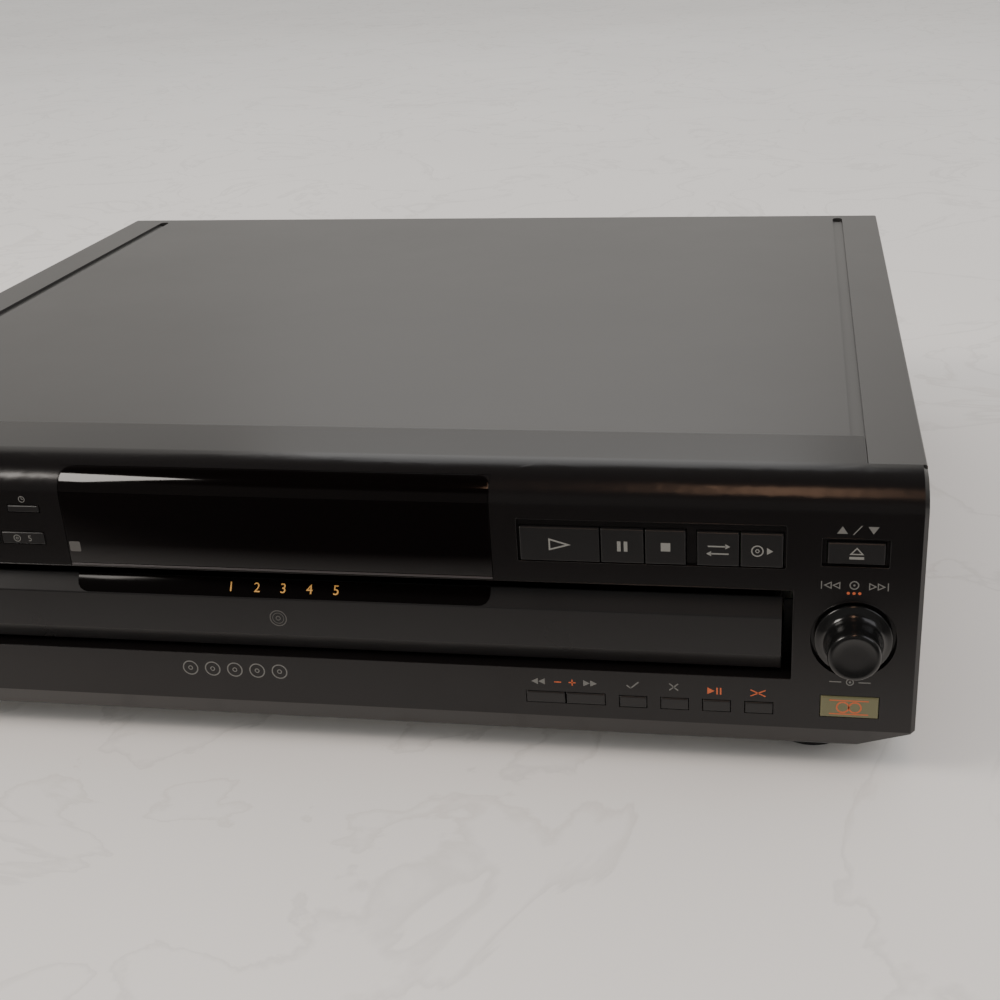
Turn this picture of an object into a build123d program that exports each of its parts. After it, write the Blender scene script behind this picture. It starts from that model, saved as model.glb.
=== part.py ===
from build123d import *
import math
import os

# A front-loading compact disc changer: a wide drawer carries a turning table with five disc
# wells, and the reading unit rises from below into the well that stands at the back.
# Millimetres. X runs to the right, Y to the back, Z up; the feet stand on Z = 0.

# ---------------------------------------------------------------- driving dimensions
case_width = 430.0
case_height = 110.0        # floor to the top of the cover
total_depth = 390.0        # front of the dial to the end of the jacks
foot_height = 10.0
dial_reach = 12.0          # dial in front of the face
jack_reach = 7.0           # jack barrels behind the rear panel
sheet = 1.0                # steel of the cover, the pan and the rear panel
wall = 3.0                 # moulded front panel
run_fit = 0.2              # running clearance between parts that slide or turn
seat_fit = 0.1             # clearance between parts that are fixed together
pass_gap = 1.0             # free space round a part that only passes through a hole
pressure_angle = 20.0      # of all gears
tooth_tip = 0.9            # tooth above and below its pitch line, in modules
tooth_root = 1.2
tooth_play = 0.12

half_width = case_width / 2
face_y = -total_depth / 2 + dial_reach
back_y = total_depth / 2 - jack_reach
pan_top = foot_height + sheet

# front panel
roll_depth = 16.0          # the rolled top edge, front to back
roll_drop = 12.0           # and downwards
strip_depth = 24.0         # top strip of the panel that lies in the cover's notch
flap_width = 18.5          # side flaps of the cover beside that strip
crease_level = 20.0        # where the face ends and the chin rolls under
chin_back = 4.0
chin_taper = 22.0
chin_edge = (2.0, 1.5)     # bevel at the chin's foot: back, up
panel_low = foot_height + 0.5
inner_face = face_y + wall
bend_y = face_y + roll_depth
strip_back = bend_y + strip_depth

# drawer opening and drawer front
opening_half = 174.0
opening_low = 38.7
opening_high = 72.0
collar_wall = 2.0
collar_back = face_y + 13.0
drawer_half = 170.4
drawer_low = 40.5
drawer_top = 66.8
drawer_recess = 1.0
drawer_front_thick = 5.0
upper_bevel = (4.0, 5.8)   # back, down
lower_bevel = (3.0, 6.5)
drawer_back = face_y + drawer_recess + drawer_front_thick

# The face above the drawer and the strips beside it are laid out in steps, so that what sits
# there follows when the casing grows or shrinks. A step is 1 mm at the sizes above.
band_step = (case_height - roll_drop - opening_high) / 26
side_step = (half_width - opening_half) / 41
side_shrink = min(side_step, 1.0)      # for round parts there, which shrink but don't grow


def over_drawer(steps):
    """Level of a place so many steps above the drawer opening."""
    return opening_high + steps * band_step


def beside_drawer(steps):
    """X of a place so many steps to the right of the drawer opening."""
    return opening_half + steps * side_step


# display window
window_half = 75.2
window_low = opening_high + 1.2
window_high = case_height - 2.6
window_thick = 1.8
window_ledge = 3.0
roll_line = case_height - 6.5          # top of the hole behind the window

# table with the disc wells
well_count = 5
disc_radius = 60.0
well_fit = 0.4
well_ring = 104.0          # distance of a well's centre from the table's centre
table_radius = 162.5
table_low = 51.5
well_floor = 53.5
table_top = 57.0
well_slot = 22.0           # half width of the slot that the reading unit comes through
table_y = -8.0
gear_module = 1.25
ring_teeth = 128
table_gear_teeth = 16
table_gear_angle = 36.0
ring_low = 47.2
ring_web = 6.0
hub_radius = 8.0
hub_boss = 16.0
cap_radius = 36.0
cap_rise = 4.5
cap_lip = 1.0
cap_flat = 14.0            # level middle of the cap

# drawer
tray_low = 41.0
tray_floor = 2.0
tray_wall = 2.8
tray_wall_top = 56.0
tray_side = 167.75         # outside of the drawer's side walls
tray_corner = 90.0
tray_back = 158.0
tray_travel = 190.0
bay_half = 58.0            # opening in the drawer and the deck for the reading unit
tray_bay_front = 36.0
pad_radius = 4.0
pad_ring = 150.0

# drawer drive
rack_module = 1.0
pinion_teeth = 18
rack_low = 44.0
rack_high = 55.0
pinion_y = -140.0
hub_neck = 6.0
loading_pulley_radius = hub_neck + 12.0 * side_shrink
pulley_low = 28.0
pulley_high = 34.0
belt_width = 2.0
belt_thick = 1.2 * side_shrink
motor_pulley_radius = 5.0 * side_shrink
loading_motor_radius = 11.0 * side_shrink
loading_motor_top = 54.0
motor_seat_low = 34.0
motor_seat_thick = 2.0
rack_lead_teeth = 3              # teeth of the rack in front of the loading gear
motor_neck = 3.2
gear_pin_radius = 2.0
pulley_groove = 1.6 * side_shrink
groove_fit = 0.1
loading_motor_x = beside_drawer(24.0)
loading_motor_y = -105.0
table_motor_radius = 11.0
table_motor_length = 14.0
shelf_outer = half_width - 3.0
shelf_leg = 3.0 * side_shrink
shelf_half = 8.0

# deck
deck_low = 22.0
deck_thick = 3.0
rail_gap = 0.6
rail_wall = 3.0
rail_top = 58.0
ledge_width = 8.0
ledge_thick = 3.8
deck_front = -163.0
deck_end = 184.0
leg_radius = 4.0
bay_front = 38.0
bay_end = 180.0
guide_low = foot_height + 2.0
guide_inner = 48.0
guide_wall = 3.0
guide_top = 44.0
deck_lip = 4.0             # plate outside the rails
rail_end = 120.0
rail_opening = (-162.0, -106.0)   # gap in the right-hand rail for the loading gear and its belt
front_bay_half = 158.0
front_bay = (-150.0, 20.0)
loading_tab = (-160.0, -90.0)
deck_legs = [(-170, -155), (170, -155), (-170, 5), (170, 5), (-64, 177), (64, 177), (-140, 110), (150, 110)]
board_leg = (150, 110)

# reading unit, drawn in its lowered place
lift_travel = 22.5
slider_travel = 32.0
unit_half = 46.0
unit_front = 78.0
unit_end = 178.0
unit_low = 13.0
unit_plate_low = 24.0
unit_plate = 2.0
unit_wall = 2.0
pin_radius = 2.0
pin_fit = 0.2
pin_level = 15.5
pin_places = (84.0, 140.0)
pin_reach = 10.0
spindle_motor_radius = 11.0
turntable_radius = 16.0
disc_seat = 36.5
seat_thick = 3.0
cone_radius = 7.4
cone_rise = 3.0
cone_step = 1.2            # upright foot of the cone
cone_taper = 2.5
shaft_radius = 1.0
gear_hub_radius = 3.0
turntable_neck = 4.0
pickup_half = 25.0
pickup_length = 27.0
pickup_low = 16.0
pickup_high = 28.0
pickup_corner = 3.0
pickup_gap = (0.6, 1.5)    # free space in front of the pickup, and behind it at its last place
pickup_travel = 35.0
lens_radius = 5.0
lens_top = 34.5
lens_start = 24.0          # lens to spindle when the pickup is parked
rod_radius = 1.5
rod_offset = 20.0
rod_level = 21.0
sled_module = 0.8
sled_teeth = 20
sled_gear_low = 26.2
sled_gear_high = 28.4
sled_motor_radius = 7.6
sled_motor_length = 10.5
sled_rack_x = 28.0
sled_y = 136.0
sled_lead_teeth = 16
sled_rack_teeth = 19
rack_bar = 2.5             # bar behind the rack's teeth, in modules from the pitch line
spindle_motor_length = 10.0
spindle_hole = 5.5
rod_block = 4.0
rod_stop = 1.0             # plastic in front of a rod's end
slider_middle = 54.0
slider_wall = 2.0
slider_top = 43.0
slider_lead = 9.0          # slider in front of its first ramp
slider_tail = 5.0
slider_bar = 4.0
slider_bar_rise = 8.0
notch_end = 80.5
notch_room = 2.0

# clamp
clamper_radius = 15.0
clamper_low = 60.3
clamper_neck = 11.0
clamper_hollow = 1.6       # pocket round the turntable's cone
clamper_roof = 0.7
clamper_disc = 5.2         # thickness of the lower disc
clamper_cap = 1.5
bridge_low = 67.7
bridge_thick = 2.0
bridge_half = 34.0
bridge_front = 78.0
bridge_foot = 75.0
bridge_leg = (160.0, 174.0)
bridge_flange = 12.0

# electronics
board_thick = 1.6
front_board_y = face_y + 11.0
board_clear = 1.4
switch_half = 2.5
switch_thick = 3.0
plunger = 1.0
main_board_level = 15.0
board_right = half_width - 6.0
main_board_box = (70.0, 20.0, board_right, back_y - 4.0)
board_half = half_width - 7.0
board_low = 22.0
board_high = case_height - 6.0
board_left_low = 80.0
post_x = board_half - 2.0
post_level = over_drawer(7.0)
window_post_x = window_half + 2.8
post_top = board_high - 3.0
board_posts = [(-post_x, post_level), (-window_post_x, post_level), (window_post_x, post_level),
               (post_x, post_level), (post_x, 40), (82, 31.5), (176, 30), (-post_x, post_top),
               (post_x, post_top)]
board_post_radius = 1.5
tube_length = 116.0
tube_height = 22.0 * band_step
tube_thick = 6.0
tube_level = over_drawer(17.5)
tube_edge = 0.6
tube_tip = 3.0
sleeve_wall = 1.5
sleeve_length = 6.0
can_x = beside_drawer(22.0)
can_inner_x = beside_drawer(16.0)
can_outer_x = board_right - 5.0
board_cans = {(8.0 * side_shrink, 20.0): [(can_x, 60), (can_x, 85)],
              (5.0 * side_shrink, 14.0): [(can_inner_x, 110), (can_outer_x, 112), (can_x, 130)],
              (3.0, 4.8): [(100, 60), (120, 160), (140, 60), (160, 160)]}
board_chips = [(105, 110), (130, 135), (100, 40)]
chip_side = 16.0
chip_rise = 2.5
board_foot_x = board_right - 6.0
board_feet = [(76, 26), (board_foot_x, 26), (76, back_y - 18.0), (board_foot_x, back_y - 23.0)]
transformer_x = 34.0 - half_width
transformer_y = 157.0
core_foot = 1.5
core_width = 50.0
core_depth = 24.0
core_height = 44.0
core_ear = 6.0
coil_width = 30.0
coil_depth = 44.0
coil_height = 28.0
coil_corner = 5.0
transformer_room = (8.0, 11.0)         # between the deck and the transformer: beside it, in front
jack_radius = 4.2
jack_bore = 1.6
jack_places = (half_width - 28.0, half_width - 15.0)
jack_z = 29.0
optical_x = half_width - 21.5
optical_z = 42.0
optical_proud = 1.0
block_depth = 12.0
block_rim = 1.0
block_side = 1.5 * jack_radius         # block beyond the middle of its outer sockets
gland_x = 25.0 - half_width
gland_z = 66.0
gland_bore = 2.6
gland_inside = 6.0
gland_outside = 4.0
gland_collar = 1.5

# keys
key_travel = 1.0
key_proud = 0.4
key_gap = 0.25
key_flange = 1.2
key_flange_thick = 1.0
key_edge = 0.3
stem_length = 1.8
stem_half = 1.5
key_spacing = 0.45
pocket_depth = 1.0
pocket_left = window_half + 8.8
pocket_right = opening_half - 2.6
key_pockets = [(pocket_left, over_drawer(7.5), pocket_right, over_drawer(22.8)),
               (beside_drawer(8.4), over_drawer(8.9), beside_drawer(29.7), over_drawer(18.9))]

# dial
dial_x = beside_drawer(19.5)
dial_z = 54.5
dial_well_radius = 14.0 * side_shrink
dial_well_depth = 2.0
dial_flange_radius = 12.6 * side_shrink
dial_rim = 1.4
dial_edge = 1.2
dial_cap_radius = 8.6 * side_shrink
dial_shaft_radius = 3.0
shaft_length = 16.5

# derived places of the mechanism
spindle_y = table_y + well_ring
ring_radius = ring_teeth * gear_module / 2
gear_distance = (ring_teeth + table_gear_teeth) * gear_module / 2
table_gear_x = gear_distance * math.cos(math.radians(table_gear_angle))
table_gear_y = table_y + gear_distance * math.sin(math.radians(table_gear_angle))
rack_x = tray_side + 1.2 * rack_module
pinion_x = rack_x + pinion_teeth * rack_module / 2
rail_inner = drawer_half + rail_gap
deck_half = rail_inner + rail_wall + deck_lip
sled_x = sled_rack_x + sled_teeth * sled_module / 2
pickup_front = spindle_y + spindle_motor_radius + pass_gap
lens_y = spindle_y + lens_start
window_front = pickup_front - pickup_gap[0]
window_back = pickup_front + pickup_length + pickup_travel + pickup_gap[1]
rod_front = window_front - rod_block + rod_stop
rod_back = window_back + rod_block - rod_stop
ramp_length = math.hypot(slider_travel, lift_travel)
ramp_angle = math.degrees(math.atan2(lift_travel, slider_travel))
slider_front = pin_places[0] - slider_travel - slider_lead
slider_length = pin_places[-1] + slider_tail - slider_front

# cover
cover_low = foot_height + 2.0
cover_cut = 5.0            # passes the sheet and its channels
groove_x = half_width - 21.0
groove_width = 5.0
groove_depth = 1.2
groove_end = 8.0           # from the rear edge to the end of the pressed channel
groove_hole = 2.2
cover_bend = 0.9
side_screw_z = 17.0
side_screw_y = (-110.0, 110.0)

# feet and screws
foot_radius = 16.0
foot_taper = 2.0
foot_edge = 1.0
foot_x = half_width - 33.5
foot_y = 150.0
screw_radius = 1.5
screw_head = 3.0
screw_length = 5.0
screw_dome = 1.6
sink_angle = 82.0
rear_screws = [(-120, 17), (0, 17), (60, 17)]
rear_flange_width = 2 * (groove_x - 9.0)
rear_flange_depth = 10.0
pan_front = bend_y
pan_flange = 12.0
pan_hole_fit = 0.6          # round the cone of a side screw
pan_front_half = 160.0
pan_rear_half = 150.0
pan_vent_x = 120.0
pan_vent_y = -60.0
pan_vent_pitch = 9.0
pan_vent_count = 9
pan_vent_length = 50.0
pan_vent_width = 4.0
panel_end_chamfer = 1.5

# Rows of keys. Above the drawer: steps up to the row's middle, height in steps, left edge, and
# each key's name and width. Beside the drawer the left edge and the width are in steps too.
upper_rows = [
    (14.0, 12.0, pocket_left + 1.0, [("play_key", 26.3), ("pause_key", 14.0), ("stop_key", 13.1)]),
    (13.9, 11.8, pocket_right - 28.4, [("exchange_key", 13.4), ("disc_skip_key", 13.5)]),
]
lower_row = (27.5, 4.2, pocket_left + 0.2, [("rewind_key", 13.4), ("forward_key", 13.3)])
small_level = 27.2
small_height = 4.2
small_width = 9.2
small_pitch = 14.13
small_left = pocket_right - 55.0
small_names = ["check_key", "clear_key", "no_delay_key", "x_fade_key"]
open_row = (13.75, 7.3, 10.3, 17.9)
power_row = (14.0, 8.0, 29.0, 20.0)
link_row = (29.1, 7.9, 9.7, 18.9)
disc_steps = 10.2
disc_key_size = (15.7, 4.4)
disc_key_right = -(window_half + 8.3)
mode_steps = 21.4
mode_key_size = (11.4, 2.4)
mode_key_right = -(window_half + 8.2)
left_pitch = 17.0
mode_names = ["continue_key", "shuffle_key", "program_key", "repeat_key", "time_key"]
disc_names = [f"disc_{place + 1}_key" for place in range(well_count)]


def in_a_row(left, keys):
    """Keys side by side from a left edge: name, left edge and width of each."""
    placed = []
    for name, width in keys:
        placed.append((name, left, width))
        left += width + key_spacing
    return placed


def key_rows():
    """Every row of keys: its level and height, then each key's name, left edge and width."""
    rows = []
    for steps, height, left, keys in upper_rows:
        rows.append((over_drawer(steps), height * band_step, in_a_row(left, keys)))
    level, height, left, keys = lower_row
    rows.append((level, height, in_a_row(left, keys)))
    steps, height, left, width = open_row
    rows.append((over_drawer(steps), height * band_step,
                 [("open_close_key", beside_drawer(left), width * side_step)]))
    level, height, left, width = link_row
    rows.append((level, height, [("link_key", beside_drawer(left), width * side_step)]))
    steps, height, left, width = power_row
    rows.append((over_drawer(steps), height * band_step,
                 [("power_key", -beside_drawer(left), width * side_step)]))
    for place, name in enumerate(small_names):
        rows.append((small_level, small_height, [(name, small_left + place * small_pitch, small_width)]))
    for names, steps, size, right in ((disc_names, disc_steps, disc_key_size, disc_key_right),
                                      (mode_names, mode_steps, mode_key_size, mode_key_right)):
        width, height = size
        for place, name in enumerate(reversed(names)):
            left = right - place * left_pitch - width
            rows.append((over_drawer(steps), height * band_step, [(name, left, width)]))
    return rows


def save(piece, name):
    """Label a finished piece and write its STEP file."""
    piece.part.label = name
    export_step(piece.part, f"parts/{name}.step")


def face_plane(y):
    """A plane that looks forward at depth y: its x is X, its y is Z, and it extrudes to the front."""
    return Plane.XZ.offset(-y)


def side_plane(side, x):
    """A plane that looks out of one side at distance x: its x is Y times side, its y is Z."""
    return Plane(origin=(side * x, 0, 0), x_dir=(0, side, 0), z_dir=(side, 0, 0))


def gear_points(teeth, module, turn):
    """Involute outline of a spur gear; turn is the angle in degrees of one tooth's middle."""
    pitch = teeth * module / 2
    pressure = math.radians(pressure_angle)
    base = pitch * math.cos(pressure)
    tip = pitch + tooth_tip * module
    root = pitch - tooth_root * module
    involute = math.tan(pressure) - pressure
    half_tooth = math.pi / (2 * teeth) - tooth_play * module / (2 * pitch)
    outline = []
    for tooth in range(teeth):
        middle = math.radians(turn) + 2 * math.pi * tooth / teeth
        flank = []
        for radius in (max(root, base), pitch, tip):
            if radius > base:
                slope = math.acos(base / radius)
                spread = half_tooth + involute - (math.tan(slope) - slope)
            else:
                spread = half_tooth + involute
            flank.append((radius, spread))
        flank.insert(0, (root, flank[0][1]))
        for radius, spread in flank:
            outline.append((radius * math.cos(middle - spread), radius * math.sin(middle - spread)))
        for radius, spread in reversed(flank):
            outline.append((radius * math.cos(middle + spread), radius * math.sin(middle + spread)))
    clean = [outline[0]]
    for point in outline[1:]:
        if math.dist(point, clean[-1]) > 1e-4:
            clean.append(point)
    return clean


def rack_points(pitch_x, first_gap, count, module):
    """Teeth of a rack along Y that point to +X, with its first gap's middle at first_gap."""
    pitch = math.pi * module
    rise = module * math.tan(math.radians(pressure_angle))
    half = pitch / 4 - tooth_play * module / 2
    root_x = pitch_x - tooth_root * module
    tip_x = pitch_x + tooth_tip * module
    outline = []
    for tooth in range(count):
        middle = first_gap + pitch * (tooth + 0.5)
        outline.append((root_x, middle - half - tooth_root * rise))
        outline.append((tip_x, middle - half + tooth_tip * rise))
        outline.append((tip_x, middle + half - tooth_tip * rise))
        outline.append((root_x, middle + half + tooth_root * rise))
    return outline


def panel_front_line(shift, foot):
    """Inside a line block: the panel's front outline, moved inwards by shift, from the bend to the foot."""
    face = face_y + shift
    roll_level = case_height - roll_drop
    low = panel_low + shift
    EllipticalCenterArc((bend_y, roll_level), roll_depth - shift, roll_drop - shift,
                        start_angle=90, arc_size=90)
    Polyline(
        (face, roll_level),
        (face, crease_level + shift / 2),
        (face + chin_back, low + chin_edge[1]),
        (face + chin_back + chin_edge[0], low),
        (foot, low),
    )


def window_blank(clear):
    """The display window: a curved slice of the panel's skin, larger all round by clear."""
    with BuildPart() as blank:
        with BuildSketch(Plane.YZ):
            with BuildLine():
                panel_front_line(0, bend_y)
                Line((bend_y, panel_low), (bend_y, case_height))
            make_face()
        extrude(amount=window_half + clear, both=True)
        with BuildSketch(Plane.YZ):
            with BuildLine():
                panel_front_line(window_thick + clear, bend_y)
                skin = window_thick + clear
                Line((bend_y, panel_low + skin), (bend_y, case_height - skin))
            make_face()
        extrude(amount=half_width, both=True, mode=Mode.SUBTRACT)
        with BuildSketch(Plane.XY.offset(window_low - clear)):
            Rectangle(case_width, 2 * total_depth)
        extrude(amount=window_high - window_low + 2 * clear, mode=Mode.INTERSECT)
    return blank.part


def drawer_outline(half, back, mode=Mode.ADD):
    """Inside a sketch: the drawer seen from above, square in front and rounded behind."""
    corner = tray_corner - drawer_half + half
    front = drawer_back + drawer_half - half
    with Locations((0, front)):
        Rectangle(2 * half, back - corner - front, align=(Align.CENTER, Align.MIN), mode=mode)
        Rectangle(2 * (half - corner), back - front, align=(Align.CENTER, Align.MIN), mode=mode)
    with Locations((half - corner, back - corner), (corner - half, back - corner)):
        Circle(corner, mode=mode)


def pulley_profile(radius, bore, low, high):
    """Inside an upright sketch: half the section of a pulley with a square belt groove."""
    middle = (low + high) / 2
    half = belt_width / 2 + groove_fit
    rim = radius + pulley_groove
    Polygon((bore, low), (rim, low), (rim, middle - half), (radius, middle - half), (radius, middle + half),
            (rim, middle + half), (rim, high), (bore, high), align=None)


def belt_circles(clear):
    """Inside a sketch: the belt's two pulleys, larger by clear, wrapped in one outline."""
    with Locations((pinion_x, pinion_y)):
        Circle(loading_pulley_radius + clear)
    with Locations((loading_motor_x, loading_motor_y)):
        Circle(motor_pulley_radius + clear)
    make_hull()


os.makedirs("parts", exist_ok=True)

# ---------------------------------------------------------------- casing
with BuildPart() as top_cover:
    # folded steel: top, two sides and a pressed channel along each side of the top
    with BuildSketch(face_plane(back_y)):
        with Locations((0, cover_low)):
            Rectangle(case_width, case_height - cover_low, align=(Align.CENTER, Align.MIN))
            Rectangle(case_width - 2 * sheet, case_height - cover_low - sheet,
                      align=(Align.CENTER, Align.MIN), mode=Mode.SUBTRACT)
        with Locations((-groove_x, case_height), (groove_x, case_height)):
            Rectangle(groove_width + 2 * sheet, groove_depth + sheet, align=(Align.CENTER, Align.MAX))
            Rectangle(groove_width, groove_depth, align=(Align.CENTER, Align.MAX), mode=Mode.SUBTRACT)
    extrude(amount=back_y - bend_y)
    # notch in front for the panel's top strip
    with BuildSketch(Plane.XY.offset(case_height)):
        with Locations((0, bend_y)):
            Rectangle(case_width - 2 * flap_width, strip_depth, align=(Align.CENTER, Align.MIN))
    extrude(amount=-cover_cut, mode=Mode.SUBTRACT)
    # the channels stop short of the rear edge, with a round hole at their end
    with BuildSketch(Plane.XY.offset(case_height - groove_depth)):
        with Locations((-groove_x, back_y), (groove_x, back_y)):
            Rectangle(groove_width, groove_end, align=(Align.CENTER, Align.MAX))
    extrude(amount=groove_depth)
    with Locations((-groove_x, back_y - groove_end, case_height), (groove_x, back_y - groove_end, case_height)):
        Hole(groove_hole, depth=cover_cut)
    for side in (-1, 1):
        with Locations(side_plane(side, half_width)):
            with Locations(*[(y, side_screw_z) for y in side_screw_y]):
                CounterSinkHole(screw_radius + seat_fit, screw_head, depth=2 * sheet,
                                counter_sink_angle=sink_angle)
    fillet(top_cover.edges().filter_by(Axis.Y).group_by(Axis.Z)[-1].sort_by(Axis.X)[0], cover_bend)
    fillet(top_cover.edges().filter_by(Axis.Y).group_by(Axis.Z)[-1].sort_by(Axis.X)[-1], cover_bend)
save(top_cover, "top_cover")

window_seat = window_blank(seat_fit)

with BuildPart() as front_panel:
    # shell: rolled top edge, upright face, chin and side walls
    with BuildSketch(Plane.YZ):
        with BuildLine():
            panel_front_line(0, bend_y)
            Polyline((bend_y, panel_low), (bend_y, case_height - wall), (strip_back, case_height - wall),
                     (strip_back, case_height), (bend_y, case_height))
        make_face()
    extrude(amount=half_width, both=True)
    panel_ends = front_panel.faces().filter_by(Axis.X).sort_by(Axis.X)
    end_edges = panel_ends[0].edges() + panel_ends[-1].edges()
    chamfer([edge for edge in end_edges if edge.center().Y < bend_y - sheet], panel_end_chamfer)
    with BuildSketch(Plane.YZ):
        with BuildLine():
            panel_front_line(wall, bend_y + sheet)
            Polyline((bend_y + sheet, panel_low + wall), (bend_y + sheet, case_height - wall),
                     (bend_y, case_height - wall))
        make_face()
    extrude(amount=half_width - wall, both=True, mode=Mode.SUBTRACT)
    # the top strip is narrower than the panel, to lie between the cover's flaps
    with BuildSketch(Plane.XY.offset(foot_height)):
        with Locations((-half_width, bend_y), (half_width, bend_y)):
            Rectangle(2 * (flap_width + run_fit), 2 * strip_depth, align=(Align.CENTER, Align.MIN))
    extrude(amount=case_height, mode=Mode.SUBTRACT)
    # the chin tapers away at both ends
    with BuildSketch(face_plane(0)):
        for side in (-1, 1):
            with BuildLine():
                Polyline((side * half_width, crease_level), (side * (half_width - chin_taper), panel_low),
                         (side * (half_width - chin_taper), 0), (side * half_width, 0), close=True)
            make_face()
    extrude(amount=half_width, mode=Mode.SUBTRACT)
    # collar behind the drawer opening, then the opening itself
    opening_middle = (opening_low + opening_high) / 2
    opening_height = opening_high - opening_low
    with BuildSketch(face_plane(inner_face)):
        with Locations((0, opening_middle)):
            Rectangle(2 * (opening_half + collar_wall), opening_height + 2 * collar_wall)
    extrude(amount=inner_face - collar_back)
    with BuildSketch(face_plane(face_y)):
        with Locations((0, opening_middle)):
            Rectangle(2 * opening_half, opening_height)
    extrude(amount=face_y - collar_back - wall, mode=Mode.SUBTRACT)
    # seat of the display window and the hole behind it
    add(window_seat, mode=Mode.SUBTRACT)
    with BuildSketch(face_plane(face_y)):
        with Locations((0, (window_low + window_ledge + roll_line) / 2)):
            Rectangle(2 * (window_half - window_ledge), roll_line - window_low - window_ledge)
    extrude(amount=-2 * wall, mode=Mode.SUBTRACT)
    # shallow pockets round the two large rows, then a hole for each row of keys
    with BuildSketch(face_plane(face_y)):
        for left, low, right, high in key_pockets:
            with Locations(((left + right) / 2, (low + high) / 2)):
                Rectangle(right - left, high - low)
    extrude(amount=-pocket_depth, mode=Mode.SUBTRACT)
    with BuildSketch(face_plane(face_y)):
        for level, height, keys in key_rows():
            left = keys[0][1]
            right = keys[-1][1] + keys[-1][2]
            with Locations(((left + right) / 2, level)):
                Rectangle(right - left + 2 * key_gap, height + 2 * key_gap)
    extrude(amount=-2 * wall, mode=Mode.SUBTRACT)
    # round well of the dial and the hole for its shaft
    with BuildSketch(face_plane(face_y)):
        with Locations((dial_x, dial_z)):
            Circle(dial_well_radius)
    extrude(amount=-dial_well_depth, mode=Mode.SUBTRACT)
    with BuildSketch(face_plane(face_y)):
        with Locations((dial_x, dial_z)):
            Circle(dial_shaft_radius + pass_gap)
    extrude(amount=-2 * wall, mode=Mode.SUBTRACT)
    # posts that carry the front board
    with BuildSketch(face_plane(inner_face)):
        with Locations(*board_posts):
            Circle(board_post_radius)
    extrude(amount=inner_face - front_board_y)
save(front_panel, "front_panel")

window_piece = window_blank(0)
with BuildPart() as display_window:
    add(window_piece)
save(display_window, "display_window")

with BuildPart() as rear_panel:
    with BuildSketch(face_plane(back_y)):
        panel_high = case_height - sheet - run_fit
        with Locations((0, pan_top)):
            Rectangle(case_width - 2 * sheet - 2 * run_fit, panel_high - pan_top,
                      align=(Align.CENTER, Align.MIN))
        with Locations(*[(x, jack_z) for x in jack_places], (optical_x, optical_z), (gland_x, gland_z)):
            Circle(jack_radius + run_fit, mode=Mode.SUBTRACT)
        with Locations(*rear_screws):
            Circle(screw_radius, mode=Mode.SUBTRACT)
        # clear of the cover's pressed channels
        with Locations((-groove_x, panel_high), (groove_x, panel_high)):
            Rectangle(groove_width + 2 * sheet + 2 * run_fit, 2 * (groove_depth + run_fit), mode=Mode.SUBTRACT)
    extrude(amount=sheet)
    # folded flange under the cover's rear edge
    with BuildSketch(Plane.XY.offset(panel_high)):
        with Locations((0, back_y)):
            Rectangle(rear_flange_width, rear_flange_depth, align=(Align.CENTER, Align.MAX))
    extrude(amount=-sheet)
save(rear_panel, "rear_panel")

with BuildPart() as bottom_chassis:
    pan_half = half_width - sheet - run_fit
    with BuildSketch(Plane.XY.offset(foot_height)):
        with Locations((0, pan_front)):
            Rectangle(2 * pan_half, back_y - pan_front, align=(Align.CENTER, Align.MIN))
        with Locations((-pan_vent_x, pan_vent_y)):
            with GridLocations(pan_vent_pitch, 0, pan_vent_count, 1):
                SlotOverall(pan_vent_length, pan_vent_width, rotation=90, mode=Mode.SUBTRACT)
    extrude(amount=sheet)
    with BuildSketch(Plane.XY.offset(foot_height)):
        for side in (-1, 1):
            with Locations((side * (pan_half - sheet / 2), pan_front)):
                Rectangle(sheet, back_y - sheet - run_fit - pan_front, align=(Align.CENTER, Align.MIN))
    extrude(amount=pan_flange)
    with BuildSketch(Plane.XY.offset(foot_height)):
        with Locations((0, pan_front)):
            Rectangle(2 * pan_front_half, sheet, align=(Align.CENTER, Align.MIN))
        with Locations((0, back_y - sheet)):
            Rectangle(2 * pan_rear_half, sheet, align=(Align.CENTER, Align.MAX))
    extrude(amount=pan_flange)
    with BuildSketch(face_plane(back_y - sheet)):
        with Locations(*rear_screws):
            Circle(screw_radius)
    extrude(amount=3 * sheet, mode=Mode.SUBTRACT)
    for side in (-1, 1):
        with BuildSketch(side_plane(side, pan_half)):
            with Locations(*[(y, side_screw_z) for y in side_screw_y]):
                Circle(screw_radius + pan_hole_fit)
        extrude(amount=-3 * sheet, mode=Mode.SUBTRACT)
save(bottom_chassis, "bottom_chassis")

with BuildPart() as feet:
    with BuildSketch(Plane.XZ):
        with BuildLine():
            Polyline((0, 0), (foot_radius - foot_taper - foot_edge, 0), (foot_radius - foot_taper, foot_edge),
                     (foot_radius, foot_height - foot_taper), (foot_radius, foot_height), (0, foot_height),
                     close=True)
        make_face()
    foot_body = revolve(axis=Axis.Z, mode=Mode.PRIVATE)
    with Locations(*[(x, y) for x in (-foot_x, foot_x) for y in (-foot_y, foot_y)]):
        add(foot_body)
save(feet, "feet")

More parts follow.
